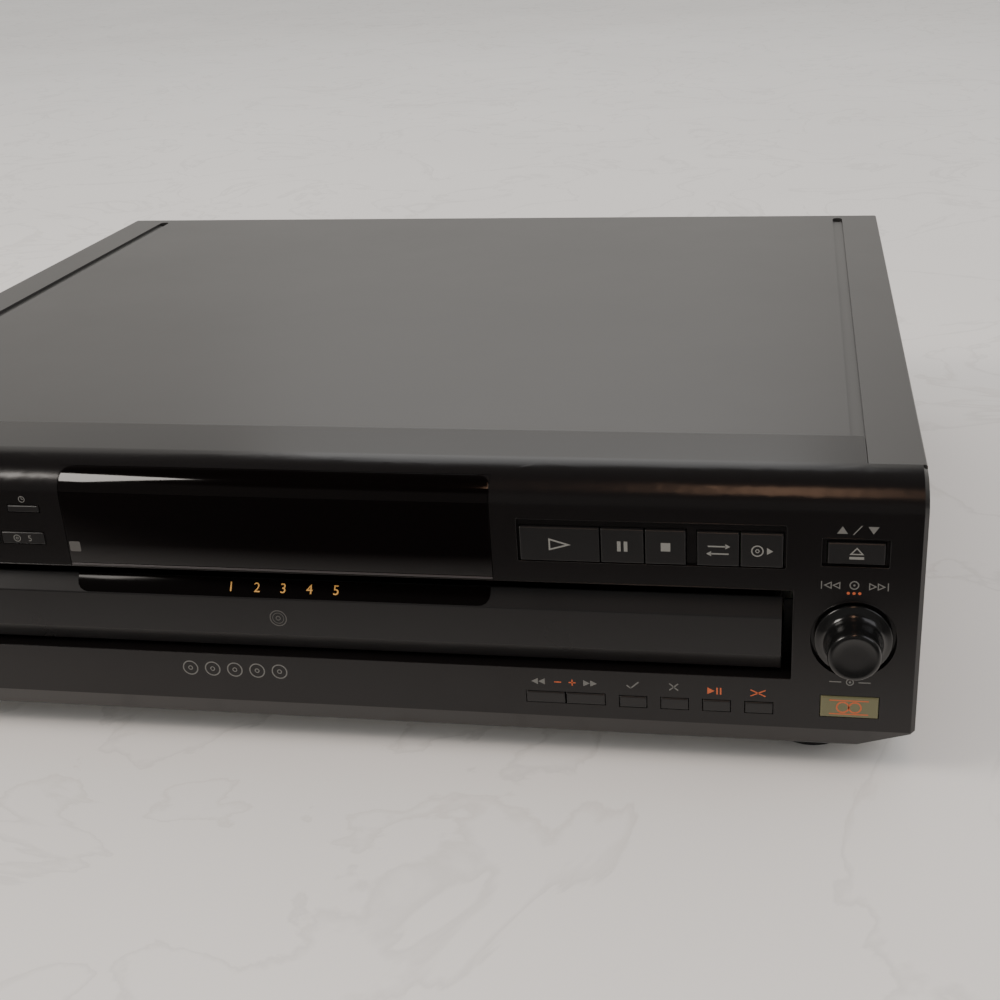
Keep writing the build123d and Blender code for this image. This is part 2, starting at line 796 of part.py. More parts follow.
with BuildPart() as case_screws:
    # four countersunk screws through the cover's sides, and three round heads at the rear
    with BuildSketch(Plane.XZ):
        with BuildLine():
            cone_depth = (screw_head - screw_radius) / math.tan(math.radians(sink_angle / 2))
            Polyline((0, 0), (screw_head - seat_fit, 0), (screw_radius - seat_fit, -cone_depth),
                     (screw_radius - seat_fit, -screw_length), (0, -screw_length), close=True)
        make_face()
    side_screw = revolve(axis=Axis.Z, mode=Mode.PRIVATE)
    with BuildSketch(Plane.XZ):
        with BuildLine():
            Polyline((0, screw_dome), (screw_radius, screw_dome), (screw_head, screw_dome / 3), (screw_head, 0),
                     (screw_radius - seat_fit, 0), (screw_radius - seat_fit, -screw_length), (0, -screw_length),
                     close=True)
        make_face()
    rear_screw = revolve(axis=Axis.Z, mode=Mode.PRIVATE)
    for side in (-1, 1):
        with Locations(side_plane(side, half_width)):
            with Locations(*[(y, side_screw_z) for y in side_screw_y]):
                add(side_screw)
    with Locations(Plane(origin=(0, back_y, 0), x_dir=(-1, 0, 0), z_dir=(0, 1, 0))):
        with Locations(*[(-x, z) for x, z in rear_screws]):
            add(rear_screw)
save(case_screws, "case_screws")

# ---------------------------------------------------------------- front controls
for level, height, keys in key_rows():
    for name, left, width in keys:
        middle = left + width / 2
        with BuildPart() as key:
            with BuildSketch(face_plane(inner_face)):
                with Locations((middle, level)):
                    Rectangle(width, height)
            extrude(amount=wall + key_proud)
            front_edges = key.faces().sort_by(Axis.Y)[0].edges()
            chamfer(front_edges, key_edge)
            # flange behind the panel, above and below, then the stem towards its switch
            with BuildSketch(face_plane(inner_face)):
                with Locations((middle, level)):
                    Rectangle(width, height + 2 * (key_gap + key_flange))
            extrude(amount=-key_flange_thick)
            with BuildSketch(face_plane(inner_face + key_flange_thick)):
                with Locations((middle, level)):
                    Rectangle(2 * stem_half, min(2 * stem_half, height))
            extrude(amount=-stem_length)
        save(key, name)

with BuildPart() as front_board:
    past_collar = collar_wall + board_clear
    board_outline = [
        (-board_half, opening_high + past_collar), (opening_half + past_collar, opening_high + past_collar),
        (opening_half + past_collar, opening_low - past_collar), (board_left_low, opening_low - past_collar),
        (board_left_low, board_low), (board_half, board_low), (board_half, board_high),
        (-board_half, board_high),
    ]
    with BuildSketch(face_plane(front_board_y)):
        Polygon(*board_outline, align=None)
    extrude(amount=-board_thick)
    # a push switch behind every key: body and plunger
    switch_places = [
        (left + width / 2, level) for level, height, keys in key_rows() for name, left, width in keys
    ]
    with BuildSketch(face_plane(front_board_y)):
        with Locations(*switch_places):
            Rectangle(2 * switch_half, min(2 * switch_half, small_height))
    extrude(amount=switch_thick)
    with BuildSketch(face_plane(front_board_y - switch_thick)):
        with Locations(*switch_places):
            Circle(plunger)
    extrude(amount=plunger)
    # sleeve that holds the dial's shaft
    with BuildSketch(face_plane(front_board_y)):
        with Locations((dial_x, dial_z)):
            Circle(dial_shaft_radius + sleeve_wall)
            Circle(dial_shaft_radius + seat_fit, mode=Mode.SUBTRACT)
    extrude(amount=sleeve_length)
save(front_board, "front_board")

with BuildPart() as display_tube:
    with BuildSketch(face_plane(front_board_y)):
        with Locations((0, tube_level)):
            Rectangle(tube_length, tube_height)
    extrude(amount=tube_thick)
    chamfer(display_tube.faces().sort_by(Axis.Y)[0].edges(), tube_edge)
    # sealed tip of the glass
    with BuildSketch(side_plane(1, tube_length / 2)):
        with Locations((front_board_y - tube_thick / 2, tube_level)):
            Circle(tube_thick / 3)
    extrude(amount=tube_tip)
save(display_tube, "display_tube")

with BuildPart() as jog_shaft:
    with BuildSketch(face_plane(front_board_y - key_travel - run_fit)):
        with Locations((dial_x, dial_z)):
            Circle(dial_shaft_radius)
    extrude(amount=shaft_length)
save(jog_shaft, "jog_shaft")

with BuildPart() as jog_dial:
    # thin flange, waist and a capped knob, drawn from its back face forwards
    dial_back = face_y + dial_well_depth - key_travel - run_fit
    reach = dial_back - (face_y - dial_reach)
    with BuildSketch(Plane(origin=(dial_x, dial_back, dial_z), x_dir=(1, 0, 0), z_dir=(0, 0, 1))):
        Polygon((0, 0), (dial_flange_radius, 0), (dial_flange_radius, -dial_rim),
                (dial_cap_radius + dial_edge, -2 * dial_rim),
                (dial_cap_radius, -3 * dial_rim), (dial_cap_radius, dial_edge - reach),
                (dial_cap_radius - dial_edge, -reach), (0, -reach), align=None)
    revolve(axis=Axis((dial_x, 0, dial_z), (0, 1, 0)))
    shaft_front = front_board_y - key_travel - run_fit - shaft_length
    with BuildSketch(face_plane(dial_back)):
        with Locations((dial_x, dial_z)):
            Circle(dial_shaft_radius + seat_fit)
    extrude(amount=dial_back - shaft_front + seat_fit, mode=Mode.SUBTRACT)
save(jog_dial, "jog_dial")

# ---------------------------------------------------------------- drawer
with BuildPart() as tray_front:
    upper_back, upper_drop = upper_bevel
    lower_back, lower_rise = lower_bevel
    drawer_face = face_y + drawer_recess
    with BuildSketch(Plane.YZ):
        Polygon((drawer_back, drawer_low), (drawer_face + lower_back, drawer_low),
                (drawer_face, drawer_low + lower_rise), (drawer_face, drawer_top - upper_drop),
                (drawer_face + upper_back, drawer_top), (drawer_back, drawer_top), align=None)
    extrude(amount=drawer_half, both=True)
save(tray_front, "tray_front")

with BuildPart() as tray:
    # floor with a runner along each side
    with BuildSketch(Plane.XY.offset(tray_low)):
        drawer_outline(drawer_half, tray_back)
        with Locations((0, tray_bay_front)):
            Rectangle(2 * bay_half, tray_back, align=(Align.CENTER, Align.MIN), mode=Mode.SUBTRACT)
        with Locations((table_gear_x, table_gear_y)):
            Circle(motor_neck + run_fit, mode=Mode.SUBTRACT)
    extrude(amount=tray_floor)
    # low wall round the table
    with BuildSketch(Plane.XY.offset(tray_low)):
        drawer_outline(tray_side, tray_back - drawer_half + tray_side)
        inner_side = tray_side - tray_wall
        drawer_outline(inner_side, tray_back - drawer_half + inner_side, mode=Mode.SUBTRACT)
        with Locations((0, tray_bay_front)):
            Rectangle(2 * bay_half, tray_back, align=(Align.CENTER, Align.MIN), mode=Mode.SUBTRACT)
    extrude(amount=tray_wall_top - tray_low)
    # rack on the right-hand wall
    with BuildSketch(Plane.XY.offset(rack_low)):
        rack_pitch = math.pi * rack_module
        rack_count = math.ceil(tray_travel / rack_pitch) + 2 * rack_lead_teeth
        teeth = rack_points(rack_x, pinion_y - rack_lead_teeth * rack_pitch, rack_count, rack_module)
        inside = tray_side - tray_wall / 2
        Polygon((inside, teeth[0][1]), *teeth, (inside, teeth[-1][1]), align=None)
    extrude(amount=rack_high - rack_low)
    # spindle post with its step, and four pads under the table's rim
    with BuildSketch(Plane.XY.offset(tray_low)):
        with Locations((0, table_y)):
            Circle(hub_boss)
    extrude(amount=ring_low - run_fit - tray_low)
    with BuildSketch(Plane.XY.offset(tray_low)):
        with Locations((0, table_y)):
            Circle(hub_radius)
    extrude(amount=table_top - pass_gap - tray_low)
    with BuildSketch(Plane.XY.offset(tray_low)):
        with Locations((0, table_y)):
            with PolarLocations(pad_ring, 4, start_angle=45):
                Circle(pad_radius)
    extrude(amount=table_low - run_fit - tray_low)
save(tray, "tray")

with BuildPart() as carousel:
    with BuildSketch(Plane.XY.offset(table_low)):
        with Locations((0, table_y)):
            Circle(table_radius)
    extrude(amount=table_top - table_low)
    # hub and ring gear under the table
    with BuildSketch(Plane.XY.offset(ring_low)):
        with Locations((0, table_y)):
            Polygon(*gear_points(ring_teeth, gear_module, table_gear_angle), align=None)
            Circle(ring_radius - ring_web, mode=Mode.SUBTRACT)
            Circle(hub_boss - tray_floor)
    extrude(amount=table_low - ring_low)
    # five wells, each with a slot to the rim for the reading unit
    with BuildSketch(Plane.XY.offset(well_floor)):
        with Locations((0, table_y)):
            with PolarLocations(well_ring, well_count, start_angle=90):
                Circle(disc_radius + well_fit)
    extrude(amount=table_top, mode=Mode.SUBTRACT)
    with BuildSketch(Plane.XY.offset(ring_low)):
        with Locations((0, table_y)):
            with PolarLocations(well_ring, well_count, start_angle=90):
                Circle(well_slot)
                Rectangle(table_radius, 2 * well_slot, align=(Align.MIN, Align.CENTER))
    extrude(amount=table_top, mode=Mode.SUBTRACT)
    with BuildSketch(Plane.XY.offset(ring_low)):
        with Locations((0, table_y)):
            Circle(hub_radius + run_fit)
    extrude(amount=table_top, mode=Mode.SUBTRACT)
save(carousel, "carousel")

with BuildPart() as carousel_cap:
    with BuildSketch(Plane(origin=(0, table_y, table_top), x_dir=(1, 0, 0), z_dir=(0, -1, 0))):
        with BuildLine():
            Polyline((cap_flat, cap_rise), (0, cap_rise), (0, 0), (cap_radius, 0), (cap_radius, cap_lip))
            cap_shoulder = ((cap_radius + cap_flat) / 2, cap_lip + 0.8 * (cap_rise - cap_lip))
            ThreePointArc((cap_radius, cap_lip), cap_shoulder, (cap_flat, cap_rise))
        make_face()
    revolve(axis=Axis((0, table_y, 0), (0, 0, 1)))
save(carousel_cap, "carousel_cap")

with BuildPart() as table_motor:
    with BuildSketch(Plane.XY.offset(tray_low)):
        with Locations((table_gear_x, table_gear_y)):
            Circle(table_motor_radius)
    extrude(amount=-table_motor_length)
    with BuildSketch(Plane.XY.offset(tray_low)):
        with Locations((table_gear_x, table_gear_y)):
            Circle(motor_neck)
    extrude(amount=tray_floor)
    with BuildSketch(Plane.XY.offset(tray_low)):
        with Locations((table_gear_x, table_gear_y)):
            Circle(shaft_radius)
    extrude(amount=table_low - pass_gap - tray_low)
save(table_motor, "table_motor")

with BuildPart() as table_gear:
    with BuildSketch(Plane.XY.offset(ring_low + run_fit)):
        with Locations((table_gear_x, table_gear_y)):
            gap_angle = table_gear_angle + 180 + 180 / table_gear_teeth
            Polygon(*gear_points(table_gear_teeth, gear_module, gap_angle), align=None)
    extrude(amount=table_low - ring_low - 2 * run_fit)
    with BuildSketch(Plane.XY.offset(tray_low + tray_floor + run_fit)):
        with Locations((table_gear_x, table_gear_y)):
            Circle(gear_hub_radius)
    extrude(amount=ring_low - tray_low - tray_floor)
    with BuildSketch(Plane.XY.offset(tray_low)):
        with Locations((table_gear_x, table_gear_y)):
            Circle(shaft_radius + seat_fit / 2)
    extrude(amount=table_top - tray_low, mode=Mode.SUBTRACT)
save(table_gear, "table_gear")

# ---------------------------------------------------------------- deck and drawer drive
with BuildPart() as mech_deck:
    # plate: two side members, a cross strip in front, one in the middle and one behind
    with BuildSketch(Plane.XY.offset(deck_low)):
        with Locations((0, deck_front)):
            Rectangle(2 * deck_half, deck_end - deck_front, align=(Align.CENTER, Align.MIN))
        with Locations((deck_half, loading_tab[0])):
            Rectangle(shelf_outer - deck_half, loading_tab[1] - loading_tab[0], align=(Align.MIN, Align.MIN))
        with Locations((0, front_bay[0])):
            Rectangle(2 * front_bay_half, front_bay[1] - front_bay[0], align=(Align.CENTER, Align.MIN),
                      mode=Mode.SUBTRACT)
        with Locations((0, bay_front)):
            Rectangle(2 * bay_half, bay_end - bay_front, align=(Align.CENTER, Align.MIN), mode=Mode.SUBTRACT)
        # clear of the transformer, and of the sockets where the casing is narrow
        notch_right = transformer_x + core_width / 2 + transformer_room[0]
        notch_front = transformer_y - coil_depth / 2 - transformer_room[1]
        with Locations((notch_right, notch_front)):
            Rectangle(half_width, deck_end - notch_front, align=(Align.MAX, Align.MIN), mode=Mode.SUBTRACT)
        with Locations((jack_places[0] - block_side - 2 * pass_gap, deck_end)):
            Rectangle(half_width, block_depth, align=(Align.MIN, Align.MAX), mode=Mode.SUBTRACT)
    extrude(amount=deck_thick)
    # side rails with a ledge for the drawer's runners
    for side in (-1, 1):
        with BuildSketch(Plane.XY.offset(deck_low)):
            with Locations((side * (rail_inner + rail_wall / 2), deck_front)):
                Rectangle(rail_wall, rail_end - deck_front, align=(Align.CENTER, Align.MIN))
        extrude(amount=rail_top - deck_low)
        with BuildSketch(Plane.XY.offset(tray_low - run_fit)):
            with Locations((side * (rail_inner - ledge_width / 2), deck_front)):
                Rectangle(ledge_width, rail_end - deck_front, align=(Align.CENTER, Align.MIN))
        extrude(amount=-ledge_thick)
    # gap in the right-hand rail for the loading gear
    with BuildSketch(Plane.XY.offset(deck_low + deck_thick)):
        with Locations((rail_inner - ledge_width - pass_gap, rail_opening[0])):
            Rectangle(ledge_width + rail_wall + 2 * pass_gap, rail_opening[1] - rail_opening[0],
                      align=(Align.MIN, Align.MIN))
    extrude(amount=rail_top, mode=Mode.SUBTRACT)
    # guide walls beside the reading unit, with an upright slot for every pin
    for side in (-1, 1):
        with BuildSketch(Plane.XY.offset(guide_low)):
            with Locations((side * (guide_inner + guide_wall / 2), bay_front - pass_gap)):
                Rectangle(guide_wall, deck_end - bay_front + pass_gap, align=(Align.CENTER, Align.MIN))
        extrude(amount=guide_top - guide_low)
        with BuildSketch(side_plane(side, guide_inner + guide_wall + pass_gap)):
            # room for the slider's cross bar
            with Locations((side * (bay_front + notch_end) / 2, foot_height)):
                Rectangle(notch_end - bay_front + 2 * notch_room, deck_low - foot_height,
                          align=(Align.CENTER, Align.MIN))
            for place in pin_places:
                with Locations((side * place, pin_level + lift_travel / 2)):
                    SlotOverall(lift_travel + 2 * (pin_radius + pin_fit), 2 * (pin_radius + pin_fit),
                                rotation=90)
        extrude(amount=-(guide_wall + 2 * pass_gap), mode=Mode.SUBTRACT)
    # legs on the pan, the loading gear's pin and the loading motor's shelf
    with BuildSketch(Plane.XY.offset(pan_top)):
        with Locations(*deck_legs):
            Circle(leg_radius)
    extrude(amount=deck_low - pan_top)
    with BuildSketch(Plane.XY.offset(deck_low)):
        with Locations((pinion_x, pinion_y)):
            Circle(gear_pin_radius)
    extrude(amount=rack_high + pass_gap - deck_low)
    with BuildSketch(Plane.XY.offset(deck_low)):
        with Locations((shelf_outer, loading_motor_y)):
            Rectangle(shelf_leg, 2 * shelf_half, align=(Align.MAX, Align.CENTER))
    extrude(amount=motor_seat_low + motor_seat_thick - deck_low)
    with BuildSketch(Plane.XY.offset(motor_seat_low)):
        with Locations((loading_motor_x, loading_motor_y)):
            Circle(loading_motor_radius)
            Rectangle(shelf_outer - loading_motor_x, 2 * shelf_half, align=(Align.MIN, Align.CENTER))
            Circle(motor_neck + run_fit, mode=Mode.SUBTRACT)
    extrude(amount=motor_seat_thick)
save(mech_deck, "mech_deck")

with BuildPart() as loading_gear:
    with BuildSketch(Plane.XY.offset(rack_low + run_fit)):
        with Locations((pinion_x, pinion_y)):
            Polygon(*gear_points(pinion_teeth, rack_module, 180), align=None)
    extrude(amount=rack_high - rack_low - 2 * run_fit)
    with BuildSketch(Plane.XY.offset(pulley_low)):
        with Locations((pinion_x, pinion_y)):
            Circle(hub_neck)
    extrude(amount=rack_low + run_fit - pulley_low)
    with BuildSketch(Plane.XY.offset(deck_low + deck_thick + run_fit)):
        with Locations((pinion_x, pinion_y)):
            Circle(hub_neck)
    extrude(amount=pulley_low - deck_low - deck_thick)
    # pulley with a groove for the belt
    with BuildSketch(Plane(origin=(pinion_x, pinion_y, 0), x_dir=(1, 0, 0), z_dir=(0, -1, 0))):
        pulley_profile(loading_pulley_radius, hub_neck / 2, pulley_low, pulley_high)
    revolve(axis=Axis((pinion_x, pinion_y, 0), (0, 0, 1)))
    with BuildSketch(Plane.XY.offset(deck_low)):
        with Locations((pinion_x, pinion_y)):
            Circle(gear_pin_radius + seat_fit)
    extrude(amount=rack_high, mode=Mode.SUBTRACT)
save(loading_gear, "loading_gear")

with BuildPart() as loading_motor:
    with BuildSketch(Plane.XY.offset(motor_seat_low + motor_seat_thick)):
        with Locations((loading_motor_x, loading_motor_y)):
            Circle(loading_motor_radius)
    extrude(amount=loading_motor_top - motor_seat_low - motor_seat_thick)
    with BuildSketch(Plane.XY.offset(motor_seat_low)):
        with Locations((loading_motor_x, loading_motor_y)):
            Circle(motor_neck)
    extrude(amount=motor_seat_thick)
    with BuildSketch(Plane.XY.offset(pulley_low)):
        with Locations((loading_motor_x, loading_motor_y)):
            Circle(shaft_radius)
    extrude(amount=motor_seat_low - pulley_low)
save(loading_motor, "loading_motor")

with BuildPart() as motor_pulley:
    with BuildSketch(Plane(origin=(loading_motor_x, loading_motor_y, 0), x_dir=(1, 0, 0), z_dir=(0, -1, 0))):
        pulley_profile(motor_pulley_radius, shaft_radius + seat_fit / 2, pulley_low, pulley_high - run_fit)
    revolve(axis=Axis((loading_motor_x, loading_motor_y, 0), (0, 0, 1)))
save(motor_pulley, "motor_pulley")

with BuildPart() as loading_belt:
    belt_level = (pulley_low + pulley_high - belt_width) / 2
    with BuildSketch(Plane.XY.offset(belt_level)):
        belt_circles(groove_fit + belt_thick)
    extrude(amount=belt_width)
    with BuildSketch(Plane.XY.offset(belt_level)):
        belt_circles(groove_fit)
    extrude(amount=belt_width, mode=Mode.SUBTRACT)
save(loading_belt, "loading_belt")

# ---------------------------------------------------------------- reading unit and its lift
with BuildPart() as lift_slider:
    with BuildSketch(Plane.XY.offset(pan_top + run_fit)):
        for side in (-1, 1):
            with Locations((side * slider_middle, slider_front)):
                Rectangle(slider_wall, slider_length, align=(Align.CENTER, Align.MIN))
    extrude(amount=slider_top - pan_top - run_fit)
    with BuildSketch(Plane.XY.offset(pan_top + run_fit)):
        with Locations((0, slider_front)):
            Rectangle(2 * slider_middle + slider_wall, slider_bar, align=(Align.CENTER, Align.MIN))
    extrude(amount=slider_bar_rise)
    # a ramp slot for every pin: as the slider goes back, the pins climb
    for side in (-1, 1):
        with BuildSketch(side_plane(side, slider_middle + slider_wall)):
            for place in pin_places:
                with Locations((side * (place - slider_travel / 2), pin_level + lift_travel / 2)):
                    SlotOverall(ramp_length + 2 * (pin_radius + pin_fit), 2 * (pin_radius + pin_fit),
                                rotation=-side * ramp_angle)
        extrude(amount=-2 * slider_wall, mode=Mode.SUBTRACT)
save(lift_slider, "lift_slider")

with BuildPart() as pickup_frame:
    with BuildSketch(Plane.XY.offset(unit_plate_low)):
        with Locations((0, unit_front)):
            Rectangle(2 * unit_half, unit_end - unit_front, align=(Align.CENTER, Align.MIN))
        with Locations((0, spindle_y)):
            Circle(spindle_hole, mode=Mode.SUBTRACT)
        with Locations((0, window_front)):
            Rectangle(2 * (pickup_half + unit_wall), window_back - window_front,
                      align=(Align.CENTER, Align.MIN), mode=Mode.SUBTRACT)
        with Locations((sled_x, sled_y)):
            Circle(gear_hub_radius, mode=Mode.SUBTRACT)
    extrude(amount=unit_plate)
    with BuildSketch(Plane.XY.offset(unit_low)):
        for side in (-1, 1):
            with Locations((side * (unit_half - unit_wall / 2), unit_front)):
                Rectangle(unit_wall, unit_end - unit_front, align=(Align.CENTER, Align.MIN))
        # end blocks that hold the guide rods
        for side in (-1, 1):
            with Locations((side * rod_offset, window_front - rod_block), (side * rod_offset, window_back)):
                Rectangle(2 * rod_block, rod_block, align=(Align.CENTER, Align.MIN))
    extrude(amount=unit_plate_low - unit_low)
    with BuildSketch(face_plane(rod_back)):
        with Locations((-rod_offset, rod_level), (rod_offset, rod_level)):
            Circle(rod_radius + seat_fit / 2)
    extrude(amount=rod_back - rod_front, mode=Mode.SUBTRACT)
    for side in (-1, 1):
        with BuildSketch(side_plane(side, unit_half)):
            with Locations(*[(side * place, pin_level) for place in pin_places]):
                Circle(pin_radius)
        extrude(amount=pin_reach)
save(pickup_frame, "pickup_frame")

with BuildPart() as guide_rods:
    with BuildSketch(face_plane(rod_back)):
        with Locations((-rod_offset, rod_level), (rod_offset, rod_level)):
            Circle(rod_radius)
    extrude(amount=rod_back - rod_front)
save(guide_rods, "guide_rods")

with BuildPart() as spindle_motor:
    with BuildSketch(Plane.XY.offset(unit_plate_low)):
        with Locations((0, spindle_y)):
            Circle(spindle_motor_radius)
    extrude(amount=-spindle_motor_length)
    with BuildSketch(Plane.XY.offset(unit_plate_low)):
        with Locations((0, spindle_y)):
            Circle(shaft_radius)
    extrude(amount=disc_seat - unit_plate_low)
save(spindle_motor, "spindle_motor")

with BuildPart() as turntable:
    with BuildSketch(Plane(origin=(0, spindle_y, 0), x_dir=(1, 0, 0), z_dir=(0, -1, 0))):
        bore = shaft_radius + seat_fit / 2
        neck_low = unit_plate_low + unit_plate + pass_gap
        Polygon((bore, neck_low), (turntable_neck, neck_low), (turntable_neck, disc_seat - seat_thick),
                (turntable_radius, disc_seat - seat_thick), (turntable_radius, disc_seat),
                (cone_radius, disc_seat), (cone_radius, disc_seat + cone_step),
                (cone_radius - cone_taper, disc_seat + cone_rise), (bore, disc_seat + cone_rise), align=None)
    revolve(axis=Axis((0, spindle_y, 0), (0, 0, 1)))
save(turntable, "turntable")

with BuildPart() as pickup:
    with BuildSketch(Plane.XY.offset(pickup_low)):
        with Locations((0, pickup_front)):
            Rectangle(2 * pickup_half, pickup_length, align=(Align.CENTER, Align.MIN))
    extrude(amount=pickup_high - pickup_low)
    fillet(pickup.edges().filter_by(Axis.Z), pickup_corner)
    with BuildSketch(Plane.XY.offset(pickup_high)):
        with Locations((0, lens_y)):
            Circle(2 * lens_radius)
    extrude(amount=(lens_top - pickup_high) / 2)
    with BuildSketch(Plane.XY.offset(pickup_high)):
        with Locations((0, lens_y)):
            Circle(lens_radius)
    extrude(amount=lens_top - pickup_high)
    # rack that the sled gear drives
    with BuildSketch(Plane.XY.offset(sled_gear_low)):
        first_gap = sled_y - sled_lead_teeth * math.pi * sled_module
        teeth = rack_points(sled_rack_x, first_gap, sled_rack_teeth, sled_module)
        bar_x = sled_rack_x - rack_bar * sled_module
        Polygon((bar_x, teeth[0][1]), *teeth, (bar_x, teeth[-1][1]), align=None)
        joint_x = pickup_half - pickup_corner
        with Locations((joint_x, teeth[0][1])):
            Rectangle(sled_rack_x - tooth_root * sled_module - joint_x, teeth[-1][1] - teeth[0][1],
                      align=(Align.MIN, Align.MIN))
    extrude(amount=pickup_high - sled_gear_low)
    with BuildSketch(face_plane(unit_end)):
        with Locations((-rod_offset, rod_level), (rod_offset, rod_level)):
            Circle(rod_radius + seat_fit)
    extrude(amount=unit_end - unit_front, mode=Mode.SUBTRACT)
save(pickup, "pickup")

with BuildPart() as sled_motor:
    with BuildSketch(Plane.XY.offset(unit_plate_low)):
        with Locations((sled_x, sled_y)):
            Circle(sled_motor_radius)
    extrude(amount=-sled_motor_length)
    with BuildSketch(Plane.XY.offset(unit_plate_low)):
        with Locations((sled_x, sled_y)):
            Circle(shaft_radius)
    extrude(amount=sled_gear_high - unit_plate_low)
save(sled_motor, "sled_motor")

with BuildPart() as sled_gear:
    with BuildSketch(Plane.XY.offset(sled_gear_low)):
        with Locations((sled_x, sled_y)):
            Polygon(*gear_points(sled_teeth, sled_module, 180), align=None)
            Circle(shaft_radius + seat_fit / 2, mode=Mode.SUBTRACT)
    extrude(amount=sled_gear_high - sled_gear_low)
save(sled_gear, "sled_gear")

# ---------------------------------------------------------------- clamp
with BuildPart() as clamp_bridge:
    with BuildSketch(Plane.XY.offset(bridge_low)):
        with Locations((0, bridge_front)):
            Rectangle(2 * bridge_half, bridge_leg[1] - bridge_front, align=(Align.CENTER, Align.MIN))
        with Locations((0, bridge_leg[0])):
            Rectangle(2 * bridge_foot, bridge_leg[1] - bridge_leg[0], align=(Align.CENTER, Align.MIN))
        with Locations((0, spindle_y)):
            Circle(clamper_neck + pass_gap, mode=Mode.SUBTRACT)
    extrude(amount=bridge_thick)
    for side in (-1, 1):
        with BuildSketch(Plane.XY.offset(deck_low + deck_thick)):
            with Locations((side * (bridge_foot - bridge_thick / 2), bridge_leg[0])):
                Rectangle(bridge_thick, bridge_leg[1] - bridge_leg[0], align=(Align.CENTER, Align.MIN))
        extrude(amount=bridge_low - deck_low - deck_thick)
        with BuildSketch(Plane.XY.offset(deck_low + deck_thick)):
            with Locations((side * (bridge_foot - bridge_flange / 2), bridge_leg[0])):
                Rectangle(bridge_flange, bridge_leg[1] - bridge_leg[0], align=(Align.CENTER, Align.MIN))
        extrude(amount=bridge_thick)
save(clamp_bridge, "clamp_bridge")

with BuildPart() as clamper:
    with BuildSketch(Plane(origin=(0, spindle_y, 0), x_dir=(1, 0, 0), z_dir=(0, -1, 0))):
        bridge_top = bridge_low + bridge_thick
        hollow_top = clamper_low + cone_rise + clamper_roof
        hollow_radius = cone_radius + clamper_hollow
        disc_top = clamper_low + clamper_disc
        Polygon((0, hollow_top), (hollow_radius, hollow_top), (hollow_radius, clamper_low),
                (clamper_radius, clamper_low), (clamper_radius, disc_top), (clamper_neck, disc_top),
                (clamper_neck, bridge_top), (clamper_radius, bridge_top),
                (clamper_radius, bridge_top + clamper_cap), (0, bridge_top + clamper_cap), align=None)
    revolve(axis=Axis((0, spindle_y, 0), (0, 0, 1)))
save(clamper, "clamper")

# ---------------------------------------------------------------- boards, power and sockets
with BuildPart() as main_board:
    left, front, right, back = main_board_box
    with BuildSketch(Plane.XY.offset(main_board_level)):
        with Locations((left, front)):
            Rectangle(right - left, back - front, align=(Align.MIN, Align.MIN))
        with Locations(board_leg):
            Circle(leg_radius + pass_gap, mode=Mode.SUBTRACT)
    extrude(amount=board_thick)
    # stand-offs on the pan, then capacitors and chips on top
    with BuildSketch(Plane.XY.offset(pan_top)):
        with Locations(*board_feet):
            Circle(leg_radius / 2)
    extrude(amount=main_board_level - pan_top)
    for size, places in board_cans.items():
        radius, height = size
        with BuildSketch(Plane.XY.offset(main_board_level + board_thick)):
            with Locations(*places):
                Circle(radius)
        extrude(amount=height)
    with BuildSketch(Plane.XY.offset(main_board_level + board_thick)):
        with Locations(*board_chips):
            Rectangle(chip_side, chip_side)
    extrude(amount=chip_rise)
save(main_board, "main_board")

with BuildPart() as transformer:
    with BuildSketch(Plane.XY.offset(pan_top)):
        with Locations((transformer_x, transformer_y)):
            Rectangle(core_width + 2 * core_ear, core_depth)
    extrude(amount=core_foot)
    with BuildSketch(Plane.XY.offset(pan_top)):
        with Locations((transformer_x, transformer_y)):
            Rectangle(core_width, core_depth)
    extrude(amount=core_height)
    with BuildSketch(Plane.XY.offset(pan_top + (core_height - coil_height) / 2)):
        with Locations((transformer_x, transformer_y)):
            RectangleRounded(coil_width, coil_depth, coil_corner)
    extrude(amount=coil_height)
save(transformer, "transformer")

with BuildPart() as jack_block:
    block_low = main_board_level + board_thick
    with BuildSketch(Plane.XY.offset(block_low)):
        with Locations(((jack_places[0] + jack_places[-1]) / 2, back_y - sheet - seat_fit)):
            Rectangle(jack_places[-1] - jack_places[0] + 2 * block_side, block_depth,
                      align=(Align.CENTER, Align.MAX))
    extrude(amount=optical_z + jack_radius + block_rim - block_low)
    with BuildSketch(face_plane(back_y - sheet - seat_fit)):
        with Locations(*[(x, jack_z) for x in jack_places]):
            Circle(jack_radius)
            Circle(jack_bore, mode=Mode.SUBTRACT)
    extrude(amount=-(sheet + seat_fit + jack_reach))
    with BuildSketch(face_plane(back_y - sheet - seat_fit)):
        with Locations((optical_x, optical_z)):
            Circle(jack_radius)
    extrude(amount=-(sheet + seat_fit + optical_proud))
save(jack_block, "jack_block")

with BuildPart() as mains_gland:
    with BuildSketch(Plane(origin=(gland_x, back_y, gland_z), x_dir=(1, 0, 0), z_dir=(0, 0, 1))):
        collar = jack_radius + gland_collar
        Polygon((gland_bore, -gland_inside), (collar, -gland_inside), (collar, -sheet - seat_fit),
                (jack_radius, -sheet - seat_fit), (jack_radius, seat_fit), (collar, seat_fit),
                (jack_radius, gland_outside), (gland_bore, gland_outside), align=None)
    revolve(axis=Axis((gland_x, 0, gland_z), (0, 1, 0)))
save(mains_gland, "mains_gland")
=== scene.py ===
# %% [markdown]
# # A five-disc changer, dressed for a picture
# The CAD model is loaded first and stays where it is. Everything made below is either a finish for
# one of its parts, or a piece that rides on one of its bodies. All lengths are metres, and `MM`
# turns the millimetres of a drawing into them.

# %% Load the frame
import math

import bmesh
import bpy
from mathutils import Matrix, Vector


